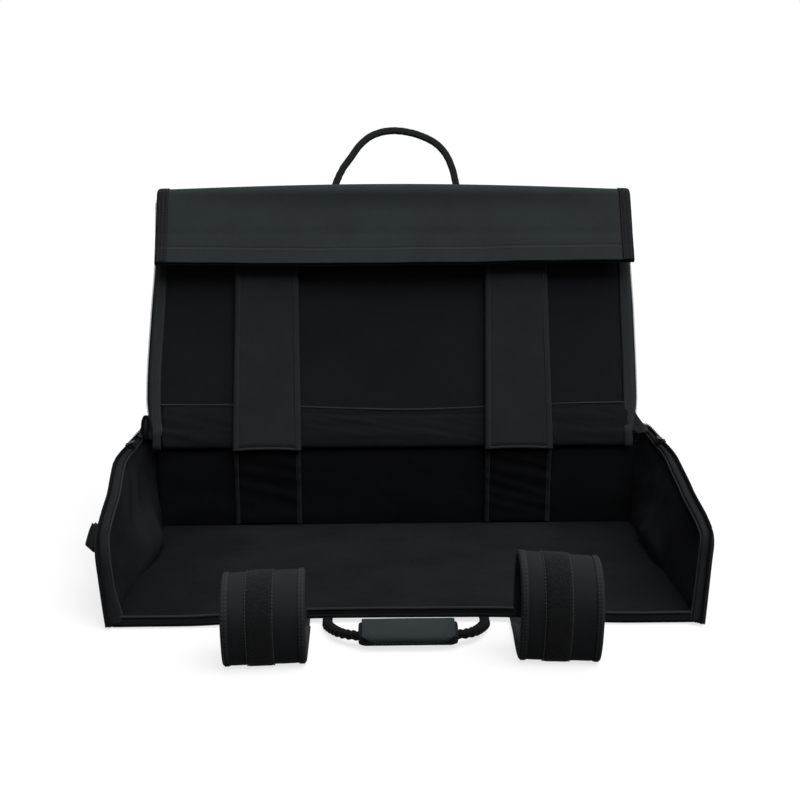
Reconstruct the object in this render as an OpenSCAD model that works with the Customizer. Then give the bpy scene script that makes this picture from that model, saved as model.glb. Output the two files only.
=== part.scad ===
// Soft carry bag for a pedalboard, standing open: padded base and back wall, two flared end panels,
// a lid that leans back with its front flap folded over, tie-down straps, webbing handles and a zip.
// Millimetres. X to the right, Y to the back, Z up; the floor under the middle of the base is the origin.

/* [Body] */
// Width over the end panels at the floor
bag_w = 880; // [700:5:1000]
// Distance from the floor centre to the outer face of the back wall
back_y = 237; // [180:1:300]
// Distance from the floor centre to the front edge of the base
front_y = 226; // [170:1:300]
// Thickness of the padded base
base_t = 14; // [10:0.5:25]
// Thickness of the back wall and the end panels
wall_t = 12; // [8:0.5:20]
// Thickness of one layer of cover or lining cloth
cloth_t = 1.5; // [1:0.1:3]
// Height of the line about which the lid turns
hinge_z = 174; // [120:1:240]

/* [Lid] */
// Width of the lid without its side binding
lid_w = 868; // [690:2:990]
// Length of the lid from its hinge line to the fold of the front flap
lid_len = 437; // [330:1:560]
// Thickness of the lid
lid_t = 12; // [8:0.5:20]
// Angle by which the open lid leans back from upright
lid_lean = 16.8; // [0:0.1:40]
// Distance from the hinge line to the welt across the lid
welt_u = 58; // [40:1:100]

/* [Front flap] */
// Length of the front flap from its fold to the cloth edge
flap_len = 130; // [90:1:170]
// Thickness of the front flap
flap_t = 8; // [5:0.5:14]
// Angle by which the flap is folded over from flat
flap_fold = 170; // [150:1:176]
// Width of the stitched hem of the flap
hem_w = 30; // [15:1:50]

/* [End panels] */
// Angle by which the end panels lean outward
end_flare = 13; // [0:0.5:20]
// Slope of the top edge of the end panels
top_slope = 6.7; // [0:0.1:12]
// Backward lean of the front edge of the end panels
front_slope = 14; // [0:0.5:25]
// Radius of the front top corner of the end panels
corner_r = 32; // [10:1:60]
// Height of the padded end panel at the back
end_h = 168; // [100:1:210]

/* [Straps] */
// Width of the padded straps on the lid
rear_strap_w = 118; // [60:1:160]
// Place of the left strap on the lid
rear_left_x = -232; // [-300:1:-120]
// Place of the right strap on the lid
rear_right_x = 220; // [120:1:300]
// Length of the straps on the lid
rear_strap_len = 372; // [250:1:390]
// Width of the curled straps in front
front_strap_w = 114; // [60:1:160]
// Place of the left curled strap
front_left_x = -197; // [-280:1:-150]
// Place of the right curled strap
front_right_x = 209; // [150:1:280]
// Height of the left curl
left_curl_h = 119; // [80:1:140]
// Height of the right curl
right_curl_h = 140; // [80:1:160]
// Thickness of the curled straps
front_strap_t = 7; // [4:0.5:12]
// Width of the hook and loop strip
tape_w = 37; // [20:1:60]

/* [Handles] */
// Width of the folded handle webbing
webbing_w = 11; // [8:0.5:20]
// Length of the padded grip wrap
grip_len = 138; // [100:1:180]
// Distance of the front handle feet from the middle of the bag
bail_x = 126; // [100:1:140]
// Place of the left foot of the lid handle
arch_left = -110; // [-140:1:-80]
// Place of the right foot of the lid handle
arch_right = 116; // [80:1:140]

/* [Zip] */
// Width of the zip tape that shows beside the teeth
zip_tape_w = 5; // [3:0.5:8]
// Thickness of the zip tape
zip_tape_t = 2; // [1:0.1:2.4]
// Height of the row of teeth
teeth_h = 3; // [2:0.1:3.4]
// Thickness of the row of teeth
teeth_t = 5; // [4:0.1:5.4]
// Width of the binding along the rim of an end panel
rim_w = 4; // [2:0.5:6]

/* [Hidden] */
half_w = bag_w / 2;
strip_y = back_y - 0.4;
front_hinge_y = -front_y - 16;
front_hinge_z = 4.2;
fold_off = lid_t + 1;
end_pivot_x = half_w - 4;
end_pivot_z = 4;
end_x = half_w - wall_t / 2;
end_foot_z = 9;
end_foot_y = -front_y - 0.5 + 14;
rear_bead_u = 20;
rear_bead_n = 20;
handle_u = lid_len - 7;
handle_n = -6;
grip_d = 67;
handle_tilt = 8.5;
slider_y = 205;
tab_y = -130;
tape_from = 16;
side_band = 22;
rim_over = 1.5;
hem_t = 1.2;
piping_r = 2.5;
$fn = 64;

// Smooth curve through control points
function cr(a, b, c, d, t) = 0.5 * (2 * b + (c - a) * t + (2 * a - 5 * b + 4 * c - d) * t * t
    + (3 * b - a - 3 * c + d) * t * t * t);
function last(p) = p[len(p) - 1];
function smooth(p, n) = concat([for (i = [0 : len(p) - 2]) for (k = [0 : n - 1])
    cr(p[max(i - 1, 0)], p[i], p[i + 1], p[min(i + 2, len(p) - 1)], k / n)], [last(p)]);
function across(a, b) = let (d = b - a) [-d[1], d[0]] / norm(d);
function beside(p, d) = [for (i = [0 : len(p) - 1])
    p[i] + d * across(p[max(i - 1, 0)], p[min(i + 1, len(p) - 1)])];
function back_to_front(p) = [for (i = [len(p) - 1 : -1 : 0]) p[i]];
function band(p, d0, d1) = concat(beside(p, d0), back_to_front(beside(p, d1)));

// Side outline of an end panel, grown by g along its top and front edges
top_n = [-sin(top_slope), cos(top_slope)];
front_n = [-cos(front_slope), sin(front_slope)];
corner_rhs = [top_n * [back_y, end_h] - corner_r, front_n * [end_foot_y, end_foot_z] - corner_r];
corner_det = top_n[0] * front_n[1] - top_n[1] * front_n[0];
corner_c = [corner_rhs[0] * front_n[1] - top_n[1] * corner_rhs[1],
    top_n[0] * corner_rhs[1] - corner_rhs[0] * front_n[0]] / corner_det;
function top_z(y) = end_h + (y - back_y) * tan(top_slope);
function end_outline(g) = concat([[back_y, end_foot_z], [back_y, end_h + g / cos(top_slope)]],
    [for (k = [0 : 10]) let (a = 90 + top_slope + k * (90 - top_slope - front_slope) / 10)
        corner_c + (corner_r + g) * [cos(a), sin(a)]],
    [[end_foot_y - g / cos(front_slope), end_foot_z]]);

// Curled path of a front strap: run on the floor, up, over and down again; h is its height
function curl(h) = smooth([for (p = [[0, 0], [-44, 0], [-88, 0], [-118, 0], [-133, 5], [-140, 22],
    [-141, 46], [-138, 68], [-129, 87], [-112, 98], [-93, 98], [-78, 86], [-70, 68], [-67, 46], [-67, 26]])
    [p[0], p[1] * h / 100]], 4);
function tail(p, from) = [for (i = [from : len(p) - 1]) p[i]];

lid_arch = smooth([[arch_left, 0], [-108, 22], [-104, 40], [-92, 66], [-79, 90], [-64, 111], [-44, 128],
    [-20, 137], [4, 139], [32, 135], [58, 126], [80, 113], [97, 93], [108, 67], [114, 40], [116, 22],
    [arch_right, 0]], 2);
half_bail = [[-bail_x, 0], [-125, -14], [-118, -32], [-103, -48], [-86, -58], [-70, -63], [-40, -66]];
bail = smooth(concat(half_bail, [[0, -grip_d]],
    [for (i = [len(half_bail) - 1 : -1 : 0]) [-half_bail[i][0], half_bail[i][1]]]), 2);

module box(a, b) { translate(a) cube(b - a); }
module rod(x0, x1, y, z, r) { translate([x0, y, z]) rotate([0, 90, 0]) cylinder(r = r, h = x1 - x0); }
module along_x(x0, x1) { translate([x0, 0, 0]) rotate([90, 0, 90]) linear_extrude(x1 - x0) children(); }
module on_side(s) { if (s < 0) mirror([1, 0, 0]) children(); else children(); }

// Lid frame: X along the hinge, Z from the hinge to the fold, minus Y through the lid to the inside
module on_lid() { translate([0, back_y, hinge_z]) rotate([-lid_lean, 0, 0]) children(); }
module lid_box(x0, x1, n0, n1, u0, u1) { on_lid() box([x0, -n1, u0], [x1, -n0, u1]); }
module lid_rod(x0, x1, n, u, r) { on_lid() rod(x0, x1, -n, u, r); }

// Flap frame: Z from the fold to the free edge, plus Y to the outer face
module on_flap() { on_lid() translate([0, -fold_off, lid_len]) rotate([flap_fold, 0, 0]) children(); }

// End panel frame: upright panel, leaned outward about its foot
module on_end(s) {
    on_side(s) translate([end_pivot_x, 0, end_pivot_z]) rotate([0, end_flare, 0])
        translate([-end_pivot_x, 0, -end_pivot_z]) children();
}
module end_layer(s, x0, x1) { on_end(s) along_x(x0, x1) polygon(end_outline(0)); }
module end_rim(s, x0, x1, g0, g1) {
    outer = end_outline(g1);
    inner = end_outline(g0);
    n = len(inner);
    on_end(s) along_x(x0, x1) polygon(concat([for (i = [1 : n - 1]) outer[i]],
        [for (i = [n - 1 : -1 : 1]) inner[i]]));
}
// Slider frame on the top edge: Y along the edge to the back, Z away from the edge
module on_edge(s) {
    on_end(s) translate([end_x, slider_y, top_z(slider_y)]) rotate([top_slope, 0, 0]) children();
}

// Front handle frame: pivot line at the base, the handle runs along minus Y
module on_bail() { translate([0, front_hinge_y, front_hinge_z]) rotate([-handle_tilt, 0, 0]) children(); }

// Base
module base_cover() {
    color("#2b3031") box([-half_w, -front_y, 0], [half_w, back_y, 2]);
}
module base_board() {
    color("#6b5a45") box([-half_w + 17, -front_y + 4, 2], [half_w - 17, strip_y - wall_t - 3, 5]);
}
module base_foam() {
    color("#4a4d4f") box([-half_w + 17, -front_y + 4, 5],
        [half_w - 17, strip_y - wall_t - 3, base_t - cloth_t]);
}
module base_lining() {
    color("#202224") box([-half_w + 15, -front_y + 2, base_t - cloth_t],
        [half_w - 15, strip_y - wall_t - 4, base_t]);
}
module base_front_strip() {
    color("#2b3031") box([-half_w + 15, -front_y, 2], [half_w - 15, -front_y + 1.8, 9]);
}
module base_front_piping() {
    color("#303536") rod(-half_w + 15, half_w - 15, -front_y - 1.3, 12.4, 3);
}
module front_zip() {
    color("#161718") {
        box([-half_w + 18, -front_y - 6, 5.5], [half_w - 18, -front_y, 7.5]);
        box([-half_w + 18, -front_y - 9, 4.2], [half_w - 18, -front_y - 6, 8.8]);
    }
}
module base_side_piping() {
    color("#303536") for (s = [-1, 1]) translate([s * end_pivot_x, -front_y + 2, end_pivot_z + 0.01])
        rotate([-90, 0, 0]) cylinder(r = 2, h = back_y + front_y - 16);
}
module strap_risers() {
    color("#2a2b2d") for (x = [rear_left_x, rear_right_x])
        box([x - rear_strap_w / 2, strip_y - wall_t - 3, base_t + 0.2],
            [x + rear_strap_w / 2, strip_y - wall_t, hinge_z - 40]);
}
module front_strap_anchors() {
    color("#1c1d1f") for (x = [front_left_x, front_right_x])
        box([x - front_strap_w / 2, -front_y - 10, 0.1], [x + front_strap_w / 2, -front_y, 2]);
}
module front_handle_anchors() {
    color("#1c1d1f") for (x = [-bail_x, bail_x])
        box([x - 9, -front_y - 10, 0.1], [x + 9, -front_y, 2]);
}

// Back wall
module back_slab(y0, y1) {
    box([-half_w + wall_t + 1, y0, 2], [half_w - wall_t - 1, y1, hinge_z - lid_t - piping_r]);
}
module back_cover() { color("#2b3031") back_slab(strip_y - cloth_t, strip_y); }
module back_foam() { color("#4a4d4f") back_slab(strip_y - wall_t + cloth_t, strip_y - cloth_t); }
module back_lining() { color("#202224") back_slab(strip_y - wall_t, strip_y - wall_t + cloth_t); }
module hinge_strip() {
    color("#2b3031") box([-lid_w / 2, strip_y - 1.8, hinge_z - lid_t - piping_r],
        [lid_w / 2, strip_y - 0.2, hinge_z - piping_r]);
}
module hinge_piping() { color("#303536") rod(-lid_w / 2, lid_w / 2, back_y, hinge_z, piping_r); }

// End panels
module end_cover(s) { color("#2b3031") end_layer(s, half_w - cloth_t, half_w); }
module end_foam(s) { color("#4a4d4f") end_layer(s, half_w - wall_t + cloth_t, half_w - cloth_t); }
module end_lining(s) { color("#202224") end_layer(s, half_w - wall_t, half_w - wall_t + cloth_t); }
module end_binding(s) {
    color("#1a1b1d") end_rim(s, half_w - wall_t - rim_over, half_w + rim_over, 0, rim_w);
}
module end_zip(s) {
    color("#161718") {
        end_rim(s, end_x - zip_tape_t / 2, end_x + zip_tape_t / 2, rim_w, rim_w + zip_tape_w);
        end_rim(s, end_x - teeth_t / 2, end_x + teeth_t / 2, rim_w + zip_tape_w,
            rim_w + zip_tape_w + teeth_h);
    }
}
module end_gusset(s) {
    color("#202224") on_end(s) translate([0, back_y + 1.2, 0]) rotate([90, 0, 0]) linear_extrude(1.2)
        polygon([[half_w, end_foot_z], [half_w, end_h - 4], [half_w - 50, end_h - 24],
            [half_w - 18, end_foot_z]]);
}
module end_tab(s, swing) {
    color("#1c1d1f") on_end(s) translate([half_w + rim_over, tab_y, top_z(tab_y) + 1]) rotate([0, -swing, 0])
        box([0, -13, -42], [4, 13, 0]);
}
module left_end_cover() { end_cover(-1); }
module left_end_foam() { end_foam(-1); }
module left_end_lining() { end_lining(-1); }
module left_end_binding() { end_binding(-1); }
module left_end_zip() { end_zip(-1); }
module left_end_gusset() { end_gusset(-1); }
module left_end_tab() { end_tab(-1, 40); }
module right_end_cover() { end_cover(1); }
module right_end_foam() { end_foam(1); }
module right_end_lining() { end_lining(1); }
module right_end_binding() { end_binding(1); }
module right_end_zip() { end_zip(1); }
module right_end_gusset() { end_gusset(1); }
module right_end_tab() { end_tab(1, 20); }

// Lid
module lid_cover() { color("#2b3031") lid_box(-lid_w / 2, lid_w / 2, 0, cloth_t, 4, lid_len - 4); }
module lid_foam() {
    color("#4a4d4f") lid_box(-lid_w / 2 + 2, lid_w / 2 - 2, cloth_t, lid_t - cloth_t,
        welt_u + 3, lid_len - 6);
}
module spine_foam() {
    color("#4a4d4f") lid_box(-lid_w / 2 + 2, lid_w / 2 - 2, cloth_t, lid_t - cloth_t, 6, welt_u - 3);
}
module lid_lining() {
    color("#202224") lid_box(-lid_w / 2, lid_w / 2, lid_t - cloth_t, lid_t, 4, lid_len - 4);
}
module lid_welt() {
    color("#26282a") lid_rod(-lid_w / 2 + side_band + 2, lid_w / 2 - side_band - 2, lid_t + 1.8, welt_u, 1.8);
}
module lid_binding() {
    color("#2b3031") for (s = [-1, 1]) on_side(s) {
        lid_box(lid_w / 2 - side_band, lid_w / 2 + 3, lid_t, lid_t + hem_t, 8, lid_len - 4);
        lid_box(lid_w / 2, lid_w / 2 + 3, 0, lid_t + hem_t, 8, lid_len - 4);
    }
}
module lid_zip() {
    color("#161718") for (s = [-1, 1]) on_side(s) {
        translate([lid_w / 2 + 3, 0, 0]) {
            lid_box(0, zip_tape_w, lid_t / 2 - zip_tape_t / 2, lid_t / 2 + zip_tape_t / 2, 24, lid_len - 4);
            lid_box(zip_tape_w, zip_tape_w + teeth_h, lid_t / 2 - teeth_t / 2, lid_t / 2 + teeth_t / 2,
                24, lid_len - 4);
        }
    }
}
module fold_piping() { color("#303536") lid_rod(-lid_w / 2, lid_w / 2, fold_off, lid_len, piping_r); }
module lid_handle_patches() {
    color("#1c1d1f") for (x = [arch_left, arch_right])
        lid_box(x - 22, x + 22, -1.8, 0, handle_u - 60, handle_u - 8);
}

// Front flap
module flap_layer(y0, y1) {
    on_flap() translate([0, fold_off - flap_t, 0]) box([-lid_w / 2, y0, 4], [lid_w / 2, y1, flap_len]);
}
module flap_cover() { color("#2b3031") flap_layer(flap_t - cloth_t, flap_t); }
module flap_foam() { color("#4a4d4f") flap_layer(cloth_t, flap_t - cloth_t); }
module flap_lining() { color("#202224") flap_layer(0, cloth_t); }
module flap_hem() {
    color("#2b3031") on_flap() box([-lid_w / 2 + side_band, fold_off, flap_len - hem_w],
        [lid_w / 2 - side_band, fold_off + hem_t, flap_len]);
}
module flap_zip() {
    mid = fold_off - flap_t / 2;
    color("#161718") on_flap() {
        box([-lid_w / 2 - 3, mid - zip_tape_t / 2, flap_len],
            [lid_w / 2 + 3, mid + zip_tape_t / 2, flap_len + zip_tape_w]);
        for (s = [-1, 1]) on_side(s) {
            box([lid_w / 2, mid - zip_tape_t / 2, 8], [lid_w / 2 + 3, mid + zip_tape_t / 2, flap_len]);
            box([lid_w / 2 - side_band, fold_off, 8], [lid_w / 2 + 2, fold_off + hem_t, flap_len]);
            box([lid_w / 2, mid + zip_tape_t / 2, 8], [lid_w / 2 + 2, fold_off, flap_len]);
        }
    }
}

// Straps on the lid
module rear_strap(x) {
    color("#303234") union() {
        lid_box(x - rear_strap_w / 2, x + rear_strap_w / 2, rear_bead_n - 4, rear_bead_n + 4,
            rear_bead_u, rear_bead_u + rear_strap_len);
        lid_rod(x - rear_strap_w / 2, x + rear_strap_w / 2, rear_bead_n, rear_bead_u, 4.5);
    }
}
module rear_strap_left() { rear_strap(rear_left_x); }
module rear_strap_right() { rear_strap(rear_right_x); }
module rear_tape(x) {
    color("#1a1b1d") lid_box(x - tape_w / 2, x + tape_w / 2, rear_bead_n - 4 - hem_t, rear_bead_n - 4,
        rear_bead_u + 90, rear_bead_u + rear_strap_len - 8);
}
module rear_strap_tape_left() { rear_tape(rear_left_x); }
module rear_strap_tape_right() { rear_tape(rear_right_x); }

// Curled straps in front
module front_strap(x, h) {
    color("#33383a") translate([0, front_hinge_y, front_hinge_z]) union() {
        along_x(x - front_strap_w / 2, x + front_strap_w / 2)
            polygon(band(curl(h), front_strap_t / 2, -front_strap_t / 2));
        rod(x - front_strap_w / 2, x + front_strap_w / 2, 0, 0, front_strap_t / 2 + 0.5);
    }
}
module front_tape(x, h) {
    color("#1a1b1d") translate([0, front_hinge_y, front_hinge_z])
        along_x(x - tape_w / 2, x + tape_w / 2)
            polygon(band(tail(curl(h), tape_from), front_strap_t / 2 + hem_t, front_strap_t / 2));
}
module front_strap_left() { front_strap(front_left_x, left_curl_h); }
module front_strap_right() { front_strap(front_right_x, right_curl_h); }
module front_strap_tape_left() { front_tape(front_left_x, left_curl_h); }
module front_strap_tape_right() { front_tape(front_right_x, right_curl_h); }

// Handles
module lid_handle() {
    color("#2b3031") on_lid() translate([0, -handle_n, handle_u]) union() {
        translate([0, 3.5, 0]) rotate([90, 0, 0]) linear_extrude(7)
            polygon(band(lid_arch, webbing_w / 2, -webbing_w / 2));
        for (x = [arch_left, arch_right]) rod(x - 7, x + 7, 0, 0, 4);
    }
}
module front_handle_webbing() {
    color("#1c1d1f") on_bail() union() {
        translate([0, 0, -2.5]) linear_extrude(5) polygon(band(bail, webbing_w / 2, -webbing_w / 2));
        for (x = [-bail_x, bail_x]) rod(x - 7, x + 7, 0, 0, 3);
    }
}
module front_handle_grip() {
    color("#33383a") on_bail() difference() {
        union() {
            box([-grip_len / 2, -grip_d - 16, -3], [grip_len / 2, -grip_d + 16, 3]);
            box([-grip_len / 2, -grip_d - 9, -10], [grip_len / 2, -grip_d + 9, 10]);
            for (dy = [-9, 9], dz = [-3, 3]) rod(-grip_len / 2, grip_len / 2, -grip_d + dy, dz, 7);
        }
        box([-grip_len / 2 - 1, -grip_d - 7, -2.9], [grip_len / 2 + 1, -grip_d + 11, 2.9]);
    }
}
module grip_flap() {
    color("#33383a") on_bail() union() {
        box([-grip_len / 2 + 6, -grip_d - 9, 10.4], [grip_len / 2 - 6, -grip_d + 13, 12]);
        rod(-grip_len / 2 + 6, grip_len / 2 - 6, -grip_d + 13, 11.4, 1);
    }
}

// Zip sliders and pulls
module zip_slider(s) {
    color("#8a8d8f") on_edge(s) difference() {
        union() {
            box([-5, -6, 5], [5, 6, 14.3]);
            box([4.5, -5.2, 7.6], [12, -3.5, 12.4]);
            box([4.5, 3.5, 7.6], [12, 5.2, 12.4]);
            translate([9.8, -4, 10]) rotate([-90, 0, 0]) cylinder(r = 1.1, h = 8);
        }
        box([-3, -7, 8.6], [3, 7, 12.4]);
        box([-1.4, -7, 4], [1.4, 7, 9]);
    }
}
module zip_pull(s) {
    color("#8a8d8f") on_edge(s) difference() {
        union() {
            translate([9.8, -3, 10]) rotate([-90, 0, 0]) cylinder(r = 2.4, h = 6);
            box([9, -3, -22], [10.6, 3, 9]);
        }
        translate([9.8, -4, 10]) rotate([-90, 0, 0]) cylinder(r = 1.25, h = 8);
    }
}
module zip_slider_left() { zip_slider(-1); }
module zip_slider_right() { zip_slider(1); }
module zip_pull_left() { zip_pull(-1); }
module zip_pull_right() { zip_pull(1); }

base_cover();
base_board();
base_foam();
base_lining();
base_front_strip();
base_front_piping();
front_zip();
base_side_piping();
back_cover();
back_foam();
back_lining();
hinge_strip();
hinge_piping();
strap_risers();
front_strap_anchors();
front_handle_anchors();
left_end_cover();
left_end_foam();
left_end_lining();
left_end_binding();
left_end_zip();
left_end_gusset();
left_end_tab();
right_end_cover();
right_end_foam();
right_end_lining();
right_end_binding();
right_end_zip();
right_end_gusset();
right_end_tab();
lid_cover();
lid_foam();
spine_foam();
lid_lining();
lid_welt();
lid_binding();
lid_zip();
fold_piping();
lid_handle_patches();
flap_cover();
flap_foam();
flap_lining();
flap_hem();
flap_zip();
rear_strap_left();
rear_strap_right();
rear_strap_tape_left();
rear_strap_tape_right();
front_strap_left();
front_strap_right();
front_strap_tape_left();
front_strap_tape_right();
lid_handle();
front_handle_webbing();
front_handle_grip();
grip_flap();
zip_slider_left();
zip_slider_right();
zip_pull_left();
zip_pull_right();
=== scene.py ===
import bisect
import math
import bmesh
import bpy
from mathutils import Matrix, Vector, noise


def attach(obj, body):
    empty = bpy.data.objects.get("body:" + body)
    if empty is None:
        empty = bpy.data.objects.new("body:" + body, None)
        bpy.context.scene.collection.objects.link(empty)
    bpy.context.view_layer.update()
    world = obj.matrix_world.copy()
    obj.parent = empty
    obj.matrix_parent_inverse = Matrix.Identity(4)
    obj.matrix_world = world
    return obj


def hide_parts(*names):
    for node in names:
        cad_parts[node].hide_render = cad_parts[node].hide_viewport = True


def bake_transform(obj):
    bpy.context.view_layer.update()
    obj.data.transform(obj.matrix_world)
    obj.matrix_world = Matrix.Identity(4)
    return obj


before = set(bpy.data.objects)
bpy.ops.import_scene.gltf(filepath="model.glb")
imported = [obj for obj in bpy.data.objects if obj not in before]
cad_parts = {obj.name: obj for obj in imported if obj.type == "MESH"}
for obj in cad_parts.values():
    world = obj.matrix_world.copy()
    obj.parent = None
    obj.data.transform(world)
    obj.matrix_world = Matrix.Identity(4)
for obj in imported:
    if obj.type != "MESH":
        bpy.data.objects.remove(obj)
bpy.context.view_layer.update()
scene = bpy.context.scene
scene.view_settings.view_transform = "Standard"
print("frame loaded:", len(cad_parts), "nodes")


# Small maths shared by the pieces

def ease(x):
    x = min(max(x, 0.0), 1.0)
    return x * x * (3 - 2 * x)


def hump(x, middle, width):
    return math.exp(-((x - middle) / width) ** 2)


def ripple(x, y, z, seed):
    return noise.noise(Vector((x + seed, y - seed, z + 3 * seed)))


def rimEase(s, t, span, reach):
    return ease(min(s * span[0], (1 - s) * span[0], t * span[1], (1 - t) * span[1]) / reach)


def smoothPath(points, steps):
    out, last = [], len(points) - 1
    for i in range(last):
        a, b, c, d = points[max(i - 1, 0)], points[i], points[i + 1], points[min(i + 2, last)]
        for k in range(steps):
            t = k / steps
            out.append(0.5 * (2 * b + (c - a) * t + (2 * a - 5 * b + 4 * c - d) * t * t
                              + (3 * b - a - 3 * c + d) * t ** 3))
    return out + [points[-1]]


def pathWalker(points):
    marks = [0.0]
    for a, b in zip(points, points[1:]):
        marks.append(marks[-1] + (b - a).length)
    turns = [(points[min(i + 1, len(points) - 1)] - points[max(i - 1, 0)]).normalized()
             for i in range(len(points))]

    def walk(t):
        want = min(max(t, 0.0), 1.0) * marks[-1]
        i = min(max(bisect.bisect_right(marks, want) - 1, 0), len(points) - 2)
        k = (want - marks[i]) / max(marks[i + 1] - marks[i], 1e-9)
        return points[i].lerp(points[i + 1], k), turns[i].lerp(turns[i + 1], k).normalized()
    return walk, marks[-1]


def flat(points):
    return [Vector(p) for p in points]


def beside(along):
    return Vector((-along.y, along.x))


def aside(walk, t, off):
    here, along = walk(t)
    return here + beside(along) * off


def onSection(x, spot):
    return Vector((x, spot.x, spot.y))


def softWalker(points, steps):
    return pathWalker(smoothPath(flat(points), steps))


def lineValue(points, x):
    for (x0, v0), (x1, v1) in zip(points, points[1:]):
        if x <= x1:
            return v0 + (v1 - v0) * max(x - x0, 0) / (x1 - x0)
    return points[-1][1]


# Places of the moving panels, on the same hinge lines as the solids

panelSpec = {
    "hinge": (0, 0.237, 0.174), "lidLean": 16.8, "lidLength": 0.437,
    "foldOff": 0.013, "flapFold": 170, "endFoot": (0.436, 0, 0.004), "endFlare": 13,
    "frontHinge": (0, -0.242, 0.0042), "handleTilt": 8.5,
}


def turnX(degrees):
    return Matrix.Rotation(math.radians(degrees), 4, "X")


lidPlace = Matrix.Translation(panelSpec["hinge"]) @ turnX(-panelSpec["lidLean"])
foldLine = Matrix.Translation((0, -panelSpec["foldOff"], panelSpec["lidLength"]))
flapPlace = lidPlace @ foldLine @ turnX(panelSpec["flapFold"])
bailPlace = Matrix.Translation(panelSpec["frontHinge"]) @ turnX(-panelSpec["handleTilt"])
mirrorX = Matrix.Scale(-1, 4, (1, 0, 0))
rightWay, frontWay, upWay = Vector((1, 0, 0)), Vector((0, -1, 0)), Vector((0, 0, 1))


def endPlace(side):
    foot = Vector(panelSpec["endFoot"])
    turn = Matrix.Rotation(math.radians(panelSpec["endFlare"]), 4, "Y")
    lean = Matrix.Translation(foot) @ turn @ Matrix.Translation(-foot)
    return lean if side > 0 else mirrorX @ lean


def lidPoint(x, n, u):
    return Vector((x, -n, u))


# Shader node groups used by several finishes

def newGroup(name, label, value, outputs):
    group = bpy.data.node_groups.new(name, "ShaderNodeTree")
    group.interface.new_socket("Vector", in_out="INPUT", socket_type="NodeSocketVector")
    group.interface.new_socket(label, in_out="INPUT", socket_type="NodeSocketFloat").default_value = value
    for word in outputs:
        group.interface.new_socket(word, in_out="OUTPUT", socket_type="NodeSocketFloat")
    return group, group.nodes.new("NodeGroupInput"), group.nodes.new("NodeGroupOutput")


def mathNode(tree, kind, a, b=None, c=None):
    node = tree.nodes.new("ShaderNodeMath")
    node.operation = kind
    for socket, value in zip(node.inputs, (a, b, c)):
        if value is None:
            continue
        if isinstance(value, (int, float)):
            socket.default_value = value
        else:
            tree.links.new(value, socket)
    return node.outputs[0]


def weighted(tree, a, partA, b, partB):
    return mathNode(tree, "ADD", mathNode(tree, "MULTIPLY", a, partA), mathNode(tree, "MULTIPLY", b, partB))


def noiseNode(tree, vector, **settings):
    node = tree.nodes.new("ShaderNodeTexNoise")
    for label, value in settings.items():
        node.inputs[label].default_value = value
    tree.links.new(vector, node.inputs["Vector"])
    return node


def threadWaves(group, into, pitch):
    split = group.nodes.new("ShaderNodeSeparateXYZ")
    group.links.new(into.outputs["Vector"], split.inputs[0])
    counts = [mathNode(group, "DIVIDE", split.outputs[i], into.outputs[pitch]) for i in (0, 1)]
    return [mathNode(group, "SINE", mathNode(group, "MULTIPLY", k, math.pi)) for k in counts]


def makeWeaveGroup():
    group, into, out = newGroup("threadWeave", "Thread", 0.0009, ("Height", "Shade"))
    wave = threadWaves(group, into, "Thread")
    tops = [mathNode(group, "ABSOLUTE", w) for w in wave]
    over = mathNode(group, "GREATER_THAN", mathNode(group, "MULTIPLY", wave[0], wave[1]), 0.0)
    height = weighted(group, tops[0], over, tops[1], mathNode(group, "SUBTRACT", 1.0, over))
    slub = noiseNode(group, into.outputs["Vector"], Scale=900, Detail=2)
    group.links.new(height, out.inputs["Height"])
    group.links.new(weighted(group, height, 0.35, slub.outputs["Fac"], 0.65), out.inputs["Shade"])
    return group


def makeMottleGroup():
    group, into, out = newGroup("clothMottle", "Scale", 14.0, ("Tone", "Crease"))
    broad = noiseNode(group, into.outputs["Vector"], Detail=3)
    fine = noiseNode(group, into.outputs["Vector"])
    fold = noiseNode(group, into.outputs["Vector"], Detail=4, Distortion=1.2)
    for node, times in ((broad, 1.0), (fine, 9.0), (fold, 2.2)):
        group.links.new(mathNode(group, "MULTIPLY", into.outputs["Scale"], times), node.inputs["Scale"])
    tone = weighted(group, broad.outputs["Fac"], 0.65, fine.outputs["Fac"], 0.35)
    group.links.new(tone, out.inputs["Tone"])
    group.links.new(fold.outputs["Fac"], out.inputs["Crease"])
    return group


def makeRibGroup():
    group, into, out = newGroup("tapeRibs", "Pitch", 0.0016, ("Height",))
    cross, rib = (mathNode(group, "ABSOLUTE", wave) for wave in threadWaves(group, into, "Pitch"))
    group.links.new(weighted(group, rib, 0.7, cross, 0.3), out.inputs["Height"])
    return group


weaveGroup, mottleGroup, ribGroup = makeWeaveGroup(), makeMottleGroup(), makeRibGroup()

# what the finishes share: lining, padded strapping, flat tape and ribbed cord
lining = {"thread": 0.0005, "scale": 9, "rough": 0.8, "specular": 0.03, "sheen": 0.0, "weave": 0.3,
          "crease": 0.5}
strapping = {"thread": 0.0009, "scale": 16, "rough": 0.86, "specular": 0.03, "sheen": 0.004, "weave": 0.6,
             "crease": 0.2}
tape = {"rib": 0.0022, "scale": 20, "rough": 0.8, "specular": 0.05, "sheen": 0.004, "weave": 0.6,
        "crease": 0.15}
cord = {"rib": 0.0022, "scale": 24, "rough": 0.75, "specular": 0.06, "sheen": 0.0, "weave": 1.2,
        "crease": 0.15}

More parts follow.
